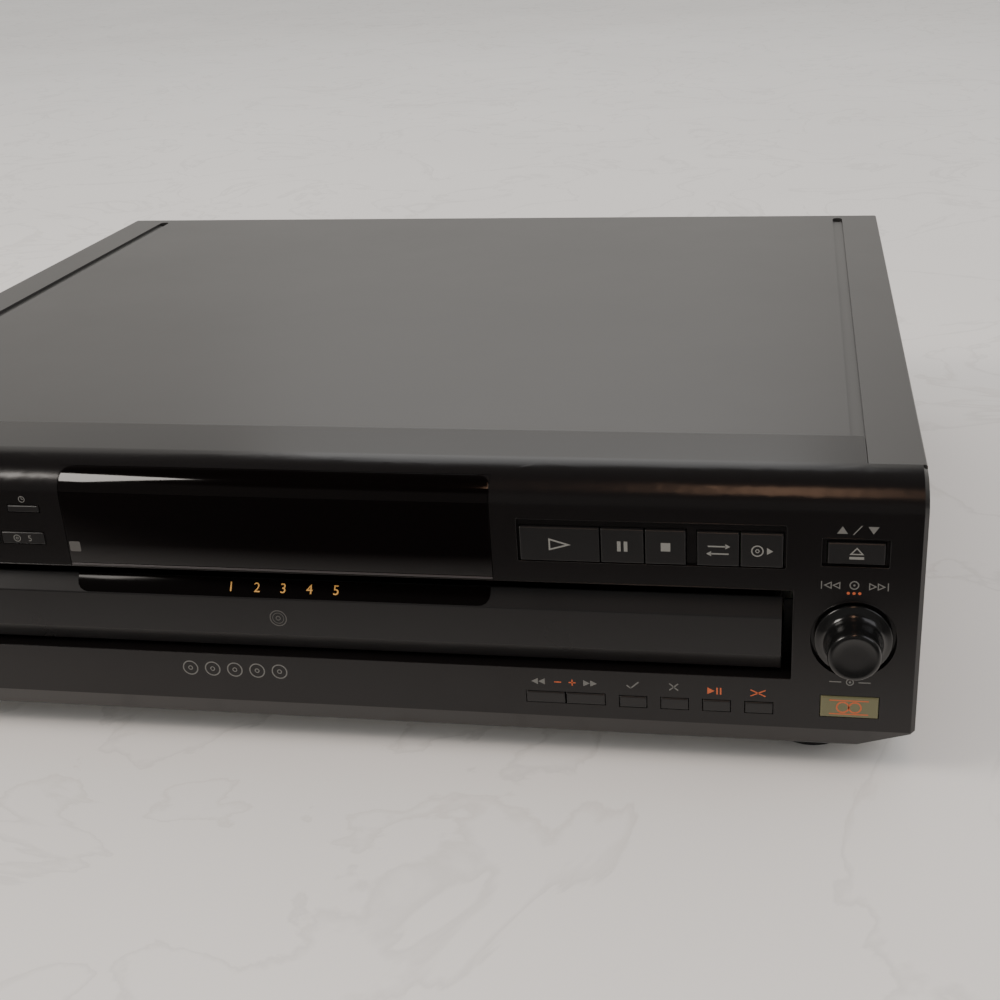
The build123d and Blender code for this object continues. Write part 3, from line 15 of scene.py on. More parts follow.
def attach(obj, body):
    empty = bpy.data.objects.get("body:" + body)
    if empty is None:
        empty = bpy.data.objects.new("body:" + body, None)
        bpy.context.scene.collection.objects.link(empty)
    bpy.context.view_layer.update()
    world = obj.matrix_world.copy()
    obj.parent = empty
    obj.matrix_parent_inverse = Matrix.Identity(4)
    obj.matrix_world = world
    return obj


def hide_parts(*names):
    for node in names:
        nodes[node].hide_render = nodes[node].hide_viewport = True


MM = 0.001
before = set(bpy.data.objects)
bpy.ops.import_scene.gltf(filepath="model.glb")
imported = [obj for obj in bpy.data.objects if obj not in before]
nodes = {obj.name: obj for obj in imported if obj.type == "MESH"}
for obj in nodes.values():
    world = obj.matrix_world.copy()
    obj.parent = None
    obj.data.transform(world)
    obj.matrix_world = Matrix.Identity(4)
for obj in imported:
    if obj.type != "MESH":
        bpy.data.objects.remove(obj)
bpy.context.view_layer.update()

# %% [markdown]
# ## Camera
# The place, the turn and the lens come from the straight edges in the photograph. The small shift
# puts the lens axis where those edges meet, as in a picture that was cropped off centre.


# %% Camera
def put(name, data):
    """A new object in the scene, at the origin."""
    made = bpy.data.objects.new(name, data)
    bpy.context.scene.collection.objects.link(made)
    return made


camera = put("camera", bpy.data.cameras.new("camera"))
camera.location = (0.17166, -0.58672, 0.28342)
camera.rotation_euler = (1.1573, 0.0413, 0.1538)
camera.data.sensor_width, camera.data.lens, camera.data.clip_start = 36.0, 50.22, 0.01
camera.data.shift_x, camera.data.shift_y = -0.0675, -0.0056
bpy.context.scene.camera = camera
print("camera at", tuple(round(c, 3) for c in camera.location))

# %% [markdown]
# ## Small tools for node trees
# A hex colour is what a screen shows, and Blender mixes light in linear numbers, so every colour
# passes through `linear`. `add` puts one node in a tree, and three short names stand for the
# nodes that come back most: a mix of colours, a change of range and a calculation.


# %% Colour and node helpers
def linear(hex_colour):
    """The linear colour, with alpha 1, of an sRGB colour such as "#808080"."""
    parts = [int(hex_colour[i : i + 2], 16) / 255 for i in (1, 3, 5)]
    return (*(p / 12.92 if p <= 0.04045 else ((p + 0.055) / 1.055) ** 2.4 for p in parts), 1.0)


def feed(tree, node, sockets):
    """Gives each socket a value, or a link if it is given another node's output."""
    for key, value in sockets.items():
        if isinstance(value, bpy.types.NodeSocket):
            tree.links.new(value, node.inputs[key])
        else:
            node.inputs[key].default_value = value


def add(tree, kind, sockets=None, **options):
    """Adds one node with its options, and feeds its sockets."""
    made = tree.nodes.new(kind)
    for key, value in options.items():
        setattr(made, key, value)
    feed(tree, made, sockets or {})
    return made


def mix(tree, share, one, two):
    """The colour between two, each a hex text or a node's output."""
    one, two = (linear(c) if isinstance(c, str) else c for c in (one, two))
    return add(tree, "ShaderNodeMix", {0: share, 6: one, 7: two}, data_type="RGBA").outputs[2]


def ramp(tree, value, span, result, **options):
    """Maps one span of numbers onto another."""
    sockets = {0: value, 1: span[0], 2: span[1], 3: result[0], 4: result[1]}
    return add(tree, "ShaderNodeMapRange", sockets, **options).outputs[0]


def calc(tree, operation, one, two, clamp=False):
    """The result of one operation on two numbers."""
    return add(tree, "ShaderNodeMath", {0: one, 1: two}, operation=operation, use_clamp=clamp).outputs[0]


def new_material(name):
    """A material, its tree and its shader."""
    made = bpy.data.materials.new(name)
    made.use_nodes = True
    return made, made.node_tree, made.node_tree.nodes["Principled BSDF"]


print("black panel in linear light:", linear("#1c1b1b"))

# %% [markdown]
# ## The studio
# A pale sheet of paper under the player and a pale room round it. Black gloss shows what stands
# round it, so the room's brightness is as much a part of the look as the plastic's own colour.

# %% World, lamps and floor
world = bpy.data.worlds.new("pale_room")
bpy.context.scene.world = world
world.use_nodes = True
tree = world.node_tree
tree.nodes.clear()
path = add(tree, "ShaderNodeLightPath").outputs
seen = calc(tree, "ADD", path["Is Camera Ray"], path["Is Glossy Ray"])
clear = calc(tree, "ADD", seen, path["Is Transmission Ray"], clamp=True)
lit = add(tree, "ShaderNodeBackground", {"Color": linear("#ffffff"), "Strength": 0.85})
# the room is dark above and behind the viewer, and pale beyond the player: gloss shows that
aim = add(tree, "ShaderNodeSeparateXYZ", {0: add(tree, "ShaderNodeTexCoord").outputs["Generated"]}).outputs
ahead = ramp(tree, aim["Y"], (-0.1, 0.5), (0.2, 1.0), interpolation_type="SMOOTHSTEP")
above = ramp(tree, aim["Z"], (0.5, 0.66), (1.0, 0.16), interpolation_type="SMOOTHSTEP")
gloss = calc(tree, "ADD", calc(tree, "MULTIPLY", ahead, above), path["Is Camera Ray"], clamp=True)
shown = add(tree, "ShaderNodeBackground", {"Color": linear("#d9d5cf"), "Strength": gloss})
mixed = add(tree, "ShaderNodeMixShader", {0: clear, 1: lit.outputs[0], 2: shown.outputs[0]})
add(tree, "ShaderNodeOutputWorld", {"Surface": mixed.outputs[0]})


def lamp(name, place, aim, size, watts, colour, long=None):
    """A soft lamp: square, or a strip that is long in Y."""
    data = bpy.data.lights.new(name, "AREA")
    data.size, data.energy, data.color = size, watts, linear(colour)[:3]
    if long:
        data.shape, data.size_y = "RECTANGLE", long
    made = put(name, data)
    made.location = place
    made.rotation_euler = (Vector(aim) - Vector(place)).to_track_quat("-Z", "Y").to_euler()


player = (0, 0, 0.05)
lamp("key_lamp", (-1.5, -0.95, 1.55), player, 0.75, 24, "#fff8f0")
lamp("fill_lamp", (1.6, -0.5, 1.4), player, 1.3, 8, "#fbfaff")
lamp("back_lamp", (-0.3, 1.8, 1.6), player, 1.2, 5.5, "#ffffff")
# a warm strip overhead: all that is seen of it is a soft brown glow on the rolled edge
lamp("ceiling_lamp", (0.17, -0.8, 1.5), (0.17, -0.17, 0.1), 0.17, 2.1, "#ffc8a2", 0.7)

paper, tree, skin = new_material("pale_paper")
spot = add(tree, "ShaderNodeNewGeometry").outputs["Position"]
cloud = add(tree, "ShaderNodeTexNoise", {"Vector": spot, "Scale": 3.0, "Detail": 3.0}).outputs[0]
wavy = {"Vector": spot, "Scale": 7.0, "Detail": 6.0, "Distortion": 1.4}
veins = add(tree, "ShaderNodeTexNoise", wavy).outputs[0]
# a vein lies where the noise passes one half
rising, falling = ramp(tree, veins, (0.49, 0.5), (0.0, 1.0)), ramp(tree, veins, (0.5, 0.525), (1.0, 0.0))
vein = calc(tree, "MULTIPLY", rising, falling)
tone = mix(tree, calc(tree, "MULTIPLY", vein, 0.35), mix(tree, cloud, "#e4e0db", "#f1ede8"), "#c9c4be")
# painted shade: in gloss only, the floor in front of the player is painted dark, so the black
# front reflects a dark room there
front = add(tree, "ShaderNodeSeparateXYZ", {0: spot}).outputs["Y"]
near = ramp(tree, front, (-0.35, -0.21), (0.0, 1.0), interpolation_type="SMOOTHSTEP")
dark = calc(tree, "SUBTRACT", add(tree, "ShaderNodeLightPath").outputs["Is Glossy Ray"], near, clamp=True)
feed(tree, skin, {"Base Color": mix(tree, dark, tone, "#2a2928"), "Roughness": 0.85,
                  "Specular IOR Level": 0.2})

floor_mesh = bpy.data.meshes.new("studio_floor")
reach = 6.0
corners = [(-reach, -reach, 0), (reach, -reach, 0), (reach, reach, 0), (-reach, reach, 0)]
floor_mesh.from_pydata(corners, [], [(0, 1, 2, 3)])
floor_mesh.materials.append(paper)
studio_floor = put("studio_floor", floor_mesh)
print("floor", reach * 2, "m wide, four soft lamps")

# %% [markdown]
# ## Moulded plastics
# Nearly every surface of a player is injection-moulded ABS or polystyrene from a spark-eroded
# tool. The tool leaves a grain of a few tenths of a millimetre, which breaks up reflections. One
# function gives that family its grain, a slow change of tone and the faint patches where
# handling has polished it.


# %% A family of moulded and coated finishes
def coated(name, base, second, rough, spread, grain_mm, depth_mm, patch_mm=60.0, **options):
    """A material with a slow change between two colours, a fine grain and patchy roughness."""
    made, tree, skin = new_material(name)
    spot = add(tree, "ShaderNodeTexCoord").outputs["Object"]
    wide = {"Vector": spot, "Scale": 1000 / patch_mm, "Detail": 4.0, "Roughness": 0.6}
    patch = add(tree, "ShaderNodeTexNoise", wide).outputs[0]
    fine = {"Vector": spot, "Scale": 1000 / grain_mm, "Detail": 2.0}
    grain = add(tree, "ShaderNodeTexNoise", fine).outputs[0]
    relief = add(tree, "ShaderNodeBump", {"Height": grain, "Distance": depth_mm * MM, "Strength": 1.0})
    gloss = ramp(tree, patch, (0.3, 0.7), (rough - spread, rough + spread))
    feed(tree, skin, {"Base Color": mix(tree, patch, base, second), "Roughness": gloss,
                      "Normal": relief.outputs[0]})
    feed(tree, skin, {socket.replace("_", " "): value for socket, value in options.items()})
    return made


satin = {"IOR": 1.5, "Specular_IOR_Level": 0.4}
# ABS with a satin grain: the front panel shows the room softly, and darker where it turns down.
satin_abs = coated("satin_black_abs", "#110f0f", "#141212", 0.22, 0.02, 0.5, 0.002, **satin)
# The drawer front is the same plastic from a finer tool, a little lighter.
drawer_abs = coated("fine_satin_abs", "#1b1a1a", "#201f1f", 0.3, 0.03, 0.4, 0.003, **satin)
# Keys are polished less, so their print stays readable.
key_abs = coated("key_abs", "#1a1919", "#1f1e1e", 0.34, 0.03, 0.4, 0.004, **satin)
# The dial is moulded in a polished tool, and shows sharp arcs of light.
dial_abs = coated("polished_black_abs", "#101010", "#141414", 0.18, 0.03, 0.8, 0.001, IOR=1.54)
# Black polystyrene of the drawer and its table, with a coarse grain that hides scratches.
tray_styrene = coated("grained_black_polystyrene", "#191919", "#1f1f1f", 0.42, 0.05, 0.7, 0.02, IOR=1.59)
# Glass fibres near the surface make the deck and the pickup greyer and duller.
deck_styrene = coated("glass_filled_polystyrene", "#242424", "#2b2a2a", 0.5, 0.06, 0.6, 0.02, IOR=1.57)
pickup_resin = coated("glass_filled_resin", "#26272a", "#303135", 0.5, 0.06, 0.5, 0.015, IOR=1.6)
# Acetal slides well and has a waxy sheen, black for the clamper and milky for the gears.
clamp_abs = coated("natural_black_acetal", "#1a1a1a", "#212121", 0.38, 0.05, 0.8, 0.006, IOR=1.48)
gear_acetal = coated("natural_acetal", "#d9d6c8", "#e2dfd2", 0.34, 0.05, 1.0, 0.004, IOR=1.48)
# Rubber is nearly without gloss.
foot_rubber = coated("moulded_foot_rubber", "#161616", "#1d1d1c", 0.72, 0.06, 0.6, 0.03, IOR=1.5)
belt_rubber = coated("ground_belt_rubber", "#141414", "#191919", 0.65, 0.06, 0.3, 0.02, IOR=1.5)
# Phenolic resin is brownish black and a little dull.
jack_phenolic = coated("black_phenolic", "#1b1a19", "#232120", 0.45, 0.05, 0.6, 0.008, IOR=1.6)
# Stoved enamel on steel: the spray leaves a faint orange-peel of about two millimetres.
cover_enamel = coated("satin_black_enamel", "#323130", "#343332", 0.33, 0.015, 1.6, 0.004, 90.0, IOR=1.55)
rear_enamel = coated("black_enamel_rear", "#1e1e1d", "#242423", 0.45, 0.05, 1.6, 0.006, IOR=1.55)
print("moulded and coated finishes made")

# %% [markdown]
# ## Metals
# Metal takes its colour from reflection, so metallic is 1 and the base colour is pale. Zinc
# plating crystallises in spangles, a motor can is drawn and brushed round, laminations are edges
# of thin sheet. Each of these is one pattern that drives roughness and tone.


# %% Metals
def metal(name, base, second, rough, spread, pattern, scale, stretch=(1, 1, 1), depth_mm=0.01, **options):
    """A bare metal whose tone and roughness follow one pattern, stretched for brushing."""
    made, tree, skin = new_material(name)
    spot = add(tree, "ShaderNodeTexCoord").outputs["Object"]
    drawn = add(tree, "ShaderNodeMapping", {"Vector": spot, "Scale": stretch}).outputs[0]
    figure = add(tree, "ShaderNodeTex" + pattern, {"Vector": drawn, "Scale": scale}, **options).outputs
    shade = figure["Color"] if pattern == "Voronoi" else figure[0]
    grey = add(tree, "ShaderNodeRGBToBW", {0: shade}).outputs[0]
    relief = add(tree, "ShaderNodeBump", {"Height": grey, "Distance": depth_mm * MM, "Strength": 0.6})
    gloss = ramp(tree, grey, (0.0, 1.0), (rough - spread, rough + spread))
    feed(tree, skin, {"Base Color": mix(tree, grey, base, second), "Roughness": gloss,
                      "Normal": relief.outputs[0], "Metallic": 1.0})
    return made


# Zinc shows crystals, drawn and ground steel fine lines, lamination edges wide ones, and nickel is
# warm and bright. The screws are blackened, and the capacitors' tops etched to an even grey.
zinc = metal("zinc_plated_steel", "#a8a9a5", "#c3c4bf", 0.34, 0.08, "Voronoi", 140.0, depth_mm=0.004)
motor_can = metal("drawn_steel_can", "#9b9b9a", "#b9b9b8", 0.28, 0.07, "Noise", 900.0, (1, 1, 0.03))
ground_steel = metal("ground_steel", "#b2b2b0", "#cfcfcd", 0.2, 0.06, "Noise", 1500.0, (1, 0.05, 1))
laminated = metal("varnished_laminations", "#5b5750", "#7d786e", 0.45, 0.1, "Wave", 160.0,
                  bands_direction="Y")
nickel = metal("nickel_plated_brass", "#b9b3a4", "#d3cdbf", 0.18, 0.05, "Noise", 1200.0, (1, 0.1, 1))
blackened = metal("blackened_screw_steel", "#2a2a2c", "#3a3a3c", 0.36, 0.08, "Noise", 1600.0)
aluminium = metal("etched_aluminium", "#c7c8ca", "#d8d9da", 0.3, 0.05, "Noise", 1200.0)
print("metals: 7")

# %% [markdown]
# ## Clear, printed and laminated finishes
# Smoked acrylic in front of an unlit inside looks black, so it is a nearly black base under a
# sharp, polished reflection. The circuit board is green lacquer over copper tracks, drawn here by
# a brick pattern whose rows are one track apart. Printing ink is matt and a touch proud.


# %% Smoked acrylic, glass, board lacquer and inks
def plain(name, base, rough, **options):
    """A finish of one colour, roughened by a fine noise of its own."""
    return coated(name, base, base, rough, 0.02, 0.6, 0.001, **options)


# Acrylic and glass reflect sharply; the cut edge is frosted and painted a lighter grey, a painted
# highlight of the light along the window's foot; the lit key is milky gold.
smoked = plain("smoked_acrylic", "#050303", 0.07, IOR=1.49, Specular_IOR_Level=0.4)
inlay_acrylic = plain("back_painted_acrylic", "#060404", 0.12, IOR=1.49, Specular_IOR_Level=0.16)
painted_highlight_acrylic = plain("cut_edge_painted_highlight", "#3c3838", 0.4, IOR=1.49)
tube_glass = plain("display_glass", "#3b4646", 0.06, IOR=1.52)
gold_acrylic = plain("translucent_gold_acrylic", "#605d41", 0.32, IOR=1.49)
# Inks are matt, so they read the same from every side.
white_ink = plain("white_print", "#73726d", 0.55)
dim_ink = plain("dimmed_white_print", "#61605c", 0.55)
grey_ink = plain("grey_print", "#4d4b48", 0.5)
orange_ink = plain("orange_print", "#b4552b", 0.55)
gold_ink = plain("gold_print", "#d29a45", 0.5)
# Small parts inside and behind: dyed polystyrene, shrunk vinyl, matt epoxy, glossy tape, dull cork.
white_styrene = plain("white_polystyrene", "#d9d8d2", 0.4)
red_styrene = plain("red_polystyrene", "#a52a20", 0.4)
sleeve_vinyl = plain("heat_shrunk_vinyl", "#1b2a4a", 0.35)
chip_epoxy = plain("moulded_chip_epoxy", "#18181a", 0.55)
coil_tape = plain("polyester_coil_tape", "#c9a53a", 0.3)
cork_rubber = plain("cork_rubber_ring", "#2a2826", 0.85)
# The lens is coated glass with a blue gleam.
lens_glass = plain("objective_lens_glass", "#2b3a66", 0.04, IOR=1.6, Coat_Weight=0.8)

# Lacquer over copper tracks: green, glossy, and a little raised where a track runs.
board_lacquer, tree, skin = new_material("green_lacquered_laminate")
rows = {"Vector": add(tree, "ShaderNodeTexCoord").outputs["Object"], "Scale": 60.0, "Mortar Size": 0.06,
        "Mortar Smooth": 0.2, "Brick Width": 0.9, "Row Height": 0.13, "Color1": linear("#1f4a2c"),
        "Color2": linear("#24552f"), "Mortar": linear("#3f7a3e")}
tracks = add(tree, "ShaderNodeTexBrick", rows).outputs
relief = add(tree, "ShaderNodeBump", {"Height": tracks["Fac"], "Distance": 0.03 * MM, "Strength": 0.5})
feed(tree, skin, {"Base Color": tracks["Color"], "Normal": relief.outputs[0], "Roughness": 0.3,
                  "Coat Weight": 0.3})
print("materials:", len(bpy.data.materials))

# %% [markdown]
# ## Finishes for the CAD parts
# A part whose shape is right keeps its solid and only takes a finish. Its record slot names the
# finish, so a table from slot to material dresses all of them.

# %% Dress the CAD nodes
by_slot = {
    "cover_paint": cover_enamel, "zinc_steel": zinc, "rear_paint": rear_enamel, "foot_plastic": foot_rubber,
    "panel_plastic": satin_abs, "smoked_window": smoked, "tube_glass": tube_glass,
    "board_laminate": board_lacquer, "drawer_plastic": drawer_abs, "tray_plastic": tray_styrene,
    "dial_plastic": dial_abs, "deck_plastic": deck_styrene, "gear_nylon": gear_acetal,
    "motor_steel": motor_can, "belt_rubber": belt_rubber, "shaft_steel": ground_steel,
    "clamp_plastic": clamp_abs, "pickup_body": pickup_resin, "core_steel": laminated,
    "jack_plastic": jack_phenolic, "lit_key": gold_acrylic, "key_plastic": key_abs,
}
for part in nodes.values():
    slot_name = part.data.materials[0].name.split(".")[0]
    part.data.materials[0] = by_slot[slot_name]
print("dressed", len(nodes), "nodes")

# %% [markdown]
# ## Soft edges by modifier
# A CAD edge is perfectly sharp and reflects nothing, while a moulded one shows a thin line of
# light. A modifier may round a CAD node without moving it. Its loose triangles are welded first,
# so that the bevel finds whole edges.


# %% Soft edges on the sharpest CAD parts
def round_edges(thing, width_mm, segments, angle):
    """Rounds the edges that turn by more than an angle in degrees."""
    edge = thing.modifiers.new("round_over", "BEVEL")
    edge.width, edge.segments = width_mm * MM, segments
    edge.limit_method, edge.angle_limit = "ANGLE", math.radians(angle)


softened = {name: 0.18 for name in nodes if name.endswith("_key")} | {"tray_front": 0.3}
for name, width_mm in softened.items():
    weld = nodes[name].modifiers.new("weld", "WELD")
    weld.merge_threshold = 0.002 * MM
    round_edges(nodes[name], width_mm, 2, 28)
print("rounded", len(softened), "nodes")

# %% [markdown]
# ## Tools for shapes
# Rows of corners joined by bands of faces make nearly all the small pieces. `loft` closes such a
# solid, `turned` runs a profile round an axis, and `piece` turns the result into an object with a
# finish and a body to ride on.


# %% Shape helpers
def baked(holder):
    """The shape of an object with its modifiers, as a bmesh; the object itself goes."""
    data = bpy.data.meshes.new_from_object(holder.evaluated_get(bpy.context.evaluated_depsgraph_get()))
    bpy.data.objects.remove(holder)
    build = bmesh.new()
    build.from_mesh(data)
    return build


def piece(name, build, body, finish, round_mm=0.0, smooth=35.0):
    """Turns a bmesh into a finished object that rides on a body, with its edges rounded."""
    bmesh.ops.recalc_face_normals(build, faces=build.faces)
    data = bpy.data.meshes.new(name)
    build.to_mesh(data)
    build.free()
    data.materials.append(finish)
    made = put(name, data)
    if round_mm:
        round_edges(made, round_mm, 3, 30)
        data = bpy.data.meshes.new_from_object(made.evaluated_get(bpy.context.evaluated_depsgraph_get()))
        made.modifiers.clear()
        made.data = data
        data.name = name
    data.polygons.foreach_set("use_smooth", [True] * len(data.polygons))
    data.set_sharp_from_angle(angle=math.radians(smooth))
    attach(made, body)
    return made


def corners_of(build, *rows):
    """New corners for rows of points in millimetres."""
    return [[build.verts.new(Vector(point) * MM) for point in row] for row in rows]


def band(build, one, two):
    """A closed band of faces between two rows of corners."""
    for here in range(len(one)):
        there = (here + 1) % len(one)
        build.faces.new((one[here], one[there], two[there], two[here]))


def loft(build, *rows):
    """A closed solid through rows of points in millimetres."""
    rows = corners_of(build, *rows)
    for one, two in zip(rows, rows[1:]):
        band(build, one, two)
    build.faces.new(rows[0])
    build.faces.new(rows[-1])


def around(steps):
    """The directions of equal steps round a circle."""
    return [(math.cos(math.tau * k / steps), math.sin(math.tau * k / steps)) for k in range(steps)]


def turned(build, profile, centre, axis, steps=72):
    """A profile of (radius, distance) millimetres, turned about an axis through centre."""
    along = Vector(axis).normalized()
    side = along.orthogonal().normalized()
    up = along.cross(side)
    rows = []
    for radius, distance in profile:
        middle = Vector(centre) + along * distance
        if radius == 0:
            rows.append([build.verts.new(middle * MM)] * steps)
        else:
            rows += corners_of(build, [middle + (side * c + up * s) * radius for c, s in around(steps)])
    for low, high in zip(rows, rows[1:]):
        for step in range(steps):
            after = (step + 1) % steps
            # a row of radius 0 is one corner, so a face there has three
            corners = list(dict.fromkeys((low[step], low[after], high[after], high[step])))
            if len(corners) > 2:
                build.faces.new(corners)


def cut_box(build, size, cut_mm, segments=1, place=(0, 0, 0)):
    """A box in millimetres with cut edges."""
    shape = Matrix.Translation(Vector(place) * MM) @ Matrix.Diagonal((*(side * MM for side in size), 1))
    bmesh.ops.create_cube(build, size=1.0, matrix=shape)
    bmesh.ops.bevel(build, geom=build.edges, offset=cut_mm * MM, segments=segments, affect="EDGES")
    return build


print("shape helpers ready")

# %% [markdown]
# ## The display window
# A smoked acrylic skin follows the panel from the drawer up over the rolled edge. Its polished
# edge catches the light, which the plain CAD solid can't show, so this piece stands for it: the
# same section, with a rounded rim.

# %% Display window
FACE_Y, ROLL_TOP = -183.0, 107.4      # the panel's upright face, and the height where its roll ends
roll_y, roll_z = -167.0, 98.0         # the middle of the roll, an ellipse
window_half, corner = 75.2, 4.5       # half the width, and the radius of the upper corners
# rows from the foot up: heights on the upright face, then shares of the roll
window_rows = [(0.0, z) for z in (73.2, 81.0, 90.0, 98.0)] + [(k / 24, None) for k in range(1, 25)]


def skin_row(share, z, depth):
    """One (y, z) of the panel's skin, depth inside it: on the upright face, or on the roll."""
    if z is not None:
        return (FACE_Y + depth, z)
    across, rise = 16.0 - depth, 12.0 - depth
    angle = math.asin((ROLL_TOP - roll_z) / rise) * share
    return (roll_y - across * math.cos(angle), roll_z + rise * math.sin(angle))


outer_rows, inner_rows = ([skin_row(share, z, depth) for share, z in window_rows] for depth in (0.0, 1.8))
climb = [0.0]
for one, two in zip(outer_rows, outer_rows[1:]):
    climb.append(climb[-1] + math.dist(one, two))


def window_edge(here):
    """Half the window's width on a row: its upper corners are round."""
    over = max(0.0, climb[here] - (climb[-1] - corner))
    return window_half - corner + math.sqrt(max(corner**2 - over**2, 0.0))


def skin_patch(build, rows, left, right):
    """A patch of the panel's skin between two edges that may differ from row to row."""
    loops = []
    for here in rows:
        a, b = left(here), right(here)
        xs = (a, a + (b - a) / 2, b)
        loops.append([(x, *outer_rows[here]) for x in xs] + [(x, *inner_rows[here]) for x in reversed(xs)])
    loops = corners_of(build, *loops)
    for one, two in zip(loops, loops[1:]):
        band(build, one, two)
    for end in (loops[0], loops[-1]):
        for half in ((0, 1, 4, 5), (1, 2, 3, 4)):
            build.faces.new([end[k] for k in half])


build = bmesh.new()
skin_patch(build, range(len(window_rows)), lambda here: -window_edge(here), window_edge)
window = piece("window_lens", build, "case", smoked, 0.3, 20.0)
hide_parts("display_window")

# the panel fills the square corners of the window's seat, and a cut edge shows below it, painted
# a lighter grey as a painted highlight of the light along the window's foot
top_rows = [here for here in range(len(window_rows)) if climb[here] > climb[-1] - corner]
build = bmesh.new()
for side in (-1, 1):
    skin_patch(build, top_rows, lambda here: side * (window_edge(here) + 0.15),
               lambda here: side * window_half)
piece("window_corners", build, "case", satin_abs, 0.0, 25.0)
build = bmesh.new()
foot_section = [(-182.9, 72.25), (-183.12, 72.4), (-183.12, 73.0), (-182.9, 73.15)]
loft(build, *[[(x, y, z) for y, z in foot_section] for x in (-75.0, 75.0)])
piece("window_foot", build, "case", painted_highlight_acrylic, 0.08, 25.0)
print("window", len(window.data.polygons), "faces")

# %% [markdown]
# ## The dial
# A polished knob with a wide flange. The profile is drawn as radius against distance from its
# back, with every corner eased, because the arcs of light along those corners are what the eye
# reads as polish. It has a blind bore, where the shaft sits.

# %% Dial
dial_x, dial_z = 193.5, 54.5
dial_profile = [
    (0, 7.6), (3.1, 7.6), (3.1, 0), (12.2, 0), (12.5, 0.12), (12.6, 0.4), (12.6, 1.0), (12.45, 1.3),
    (12.1, 1.5), (11.2, 1.75), (10.3, 2.15), (9.6, 2.75), (9.1, 3.6), (8.8, 4.8), (8.65, 6.2), (8.6, 8.0),
    (8.6, 11.3), (8.5, 11.9), (8.2, 12.4), (7.7, 12.7), (7.2, 12.78), (6.7, 12.7), (6.2, 12.55), (4.0, 12.42),
    (2.0, 12.38), (0, 12.37),
]
build = bmesh.new()
turned(build, dial_profile, (dial_x, -182.2, dial_z), (0, -1, 0), 128)
knob = piece("dial_knob", build, "jog_dial", dial_abs, 0.0, 50.0)
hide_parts("jog_dial")
print("dial", len(knob.data.polygons), "faces")

# %% [markdown]
# ## Moulded edges round the openings
# Where a mould steps back, its edge is never quite sharp, and on black plastic that thin rounded
# lip is often all that can be seen. A fine bead, half sunk into the surface, draws it.


# %% Beads round the pockets and the opening
def bead(name, outline, y, radius_mm):
    """A fine rounded bead on the panel, along a closed outline of (x, z) millimetres at depth y."""
    curve = bpy.data.curves.new(name, "CURVE")
    curve.dimensions, curve.bevel_depth, curve.bevel_resolution = "3D", radius_mm * MM, 2
    line = curve.splines.new("POLY")
    line.points.add(len(outline) - 1)
    for point, (x, z) in zip(line.points, outline):
        point.co = (x * MM, y * MM, z * MM, 1)
    line.use_cyclic_u = True
    piece(name, baked(put(name, curve)), "case", satin_abs, 0.0, 60.0)


def rounded_box(left, low, right, high, corner):
    """The outline of a rectangle with round corners, anticlockwise."""
    points = []
    for cx, cz, start in ((right - corner, low + corner, -90), (right - corner, high - corner, 0),
                          (left + corner, high - corner, 90), (left + corner, low + corner, 180)):
        for step in range(5):
            angle = math.radians(start + 22.5 * step)
            points.append((cx + corner * math.cos(angle), cz + corner * math.sin(angle)))
    return points


bead("bead_large_pocket", rounded_box(84.0, 79.5, 171.4, 94.8, 0.6), -182.95, 0.16)
bead("bead_eject_pocket", rounded_box(182.4, 80.9, 203.7, 90.9, 0.6), -182.95, 0.16)
bead("bead_opening", rounded_box(-174.0, 38.7, 174.0, 72.0, 0.5), -182.9, 0.22)
bead("bead_dial_well", [(dial_x + 14.0 * c, dial_z + 14.0 * s) for c, s in around(96)], -182.95, 0.18)
print("four beads")

# %% [markdown]
# ## Printed marks
# The keys carry common symbols only: a triangle for play, bars for pause, a square for stop. A
# mark is a flat outline, perhaps with a hole, and gets a few hundredths of a millimetre of
# thickness, as screen printing has. Its plane is given by a point and the direction that is up.


# %% Mark helpers
def ring(x, z, radius, width, steps=40):
    """A round line."""
    sizes = (radius, radius - width)
    return tuple([(x + size * c, z + size * s) for c, s in around(steps)] for size in sizes)


def disc(x, z, radius):
    """A filled spot."""
    return ring(x, z, radius, radius / 2, 24)[0], None


def patch_of(left, low, right, high):
    """A filled rectangle."""
    return [(left, low), (right, low), (right, high), (left, high)], None


def stroke(x0, z0, x1, z1, width):
    """A straight line with some width."""
    long = math.hypot(x1 - x0, z1 - z0)
    ox, oz = -(z1 - z0) / long * width / 2, (x1 - x0) / long * width / 2
    return [(x0 + ox, z0 + oz), (x0 - ox, z0 - oz), (x1 - ox, z1 - oz), (x1 + ox, z1 + oz)], None


def cross(left, low, right, high, width):
    """Two strokes from corner to corner."""
    return [stroke(left, low, right, high, width), stroke(left, high, right, low, width)]


def arrowhead(x, z, length, height, way, line=0.0):
    """A triangle that points to way: right, left, up or down; with a line width it is open."""
    turn = math.radians({"right": 0, "up": 90, "left": 180, "down": 270}[way])
    shape = [(length / 2, 0), (-length / 2, height / 2), (-length / 2, -height / 2)]
    side = math.hypot(length, height / 2)
    inner = length * height / (height + 2 * side)      # radius of the circle inside
    middle = -length / 2 + inner
    loops = [shape]
    if line:
        share = (inner - line) / inner
        loops.append([(middle + (px - middle) * share, pz * share) for px, pz in shape])
    c, s = math.cos(turn), math.sin(turn)
    placed = [[(x + px * c - pz * s, z + px * s + pz * c) for px, pz in loop] for loop in loops]
    return placed[0], placed[1] if line else None


FACE = ((0, FACE_Y, 0), (0, 0, 1))
KEY_FACE = ((0, FACE_Y - 0.4, 0), (0, 0, 1))
DRAWER_FACE = ((0, -182.0, 0), (0, 0, 1))
BEVEL = ((0, -182.0, 61.0), (0, 4.0, 5.8))      # the drawer's sloping top edge


def placed_on(plane, x, z, out):
    """A point of a printed plane in millimetres, out in front of it."""
    up = Vector(plane[1]).normalized()
    return Vector(plane[0]) + Vector((x, 0, 0)) + up * z + Vector((1, 0, 0)).cross(up) * out


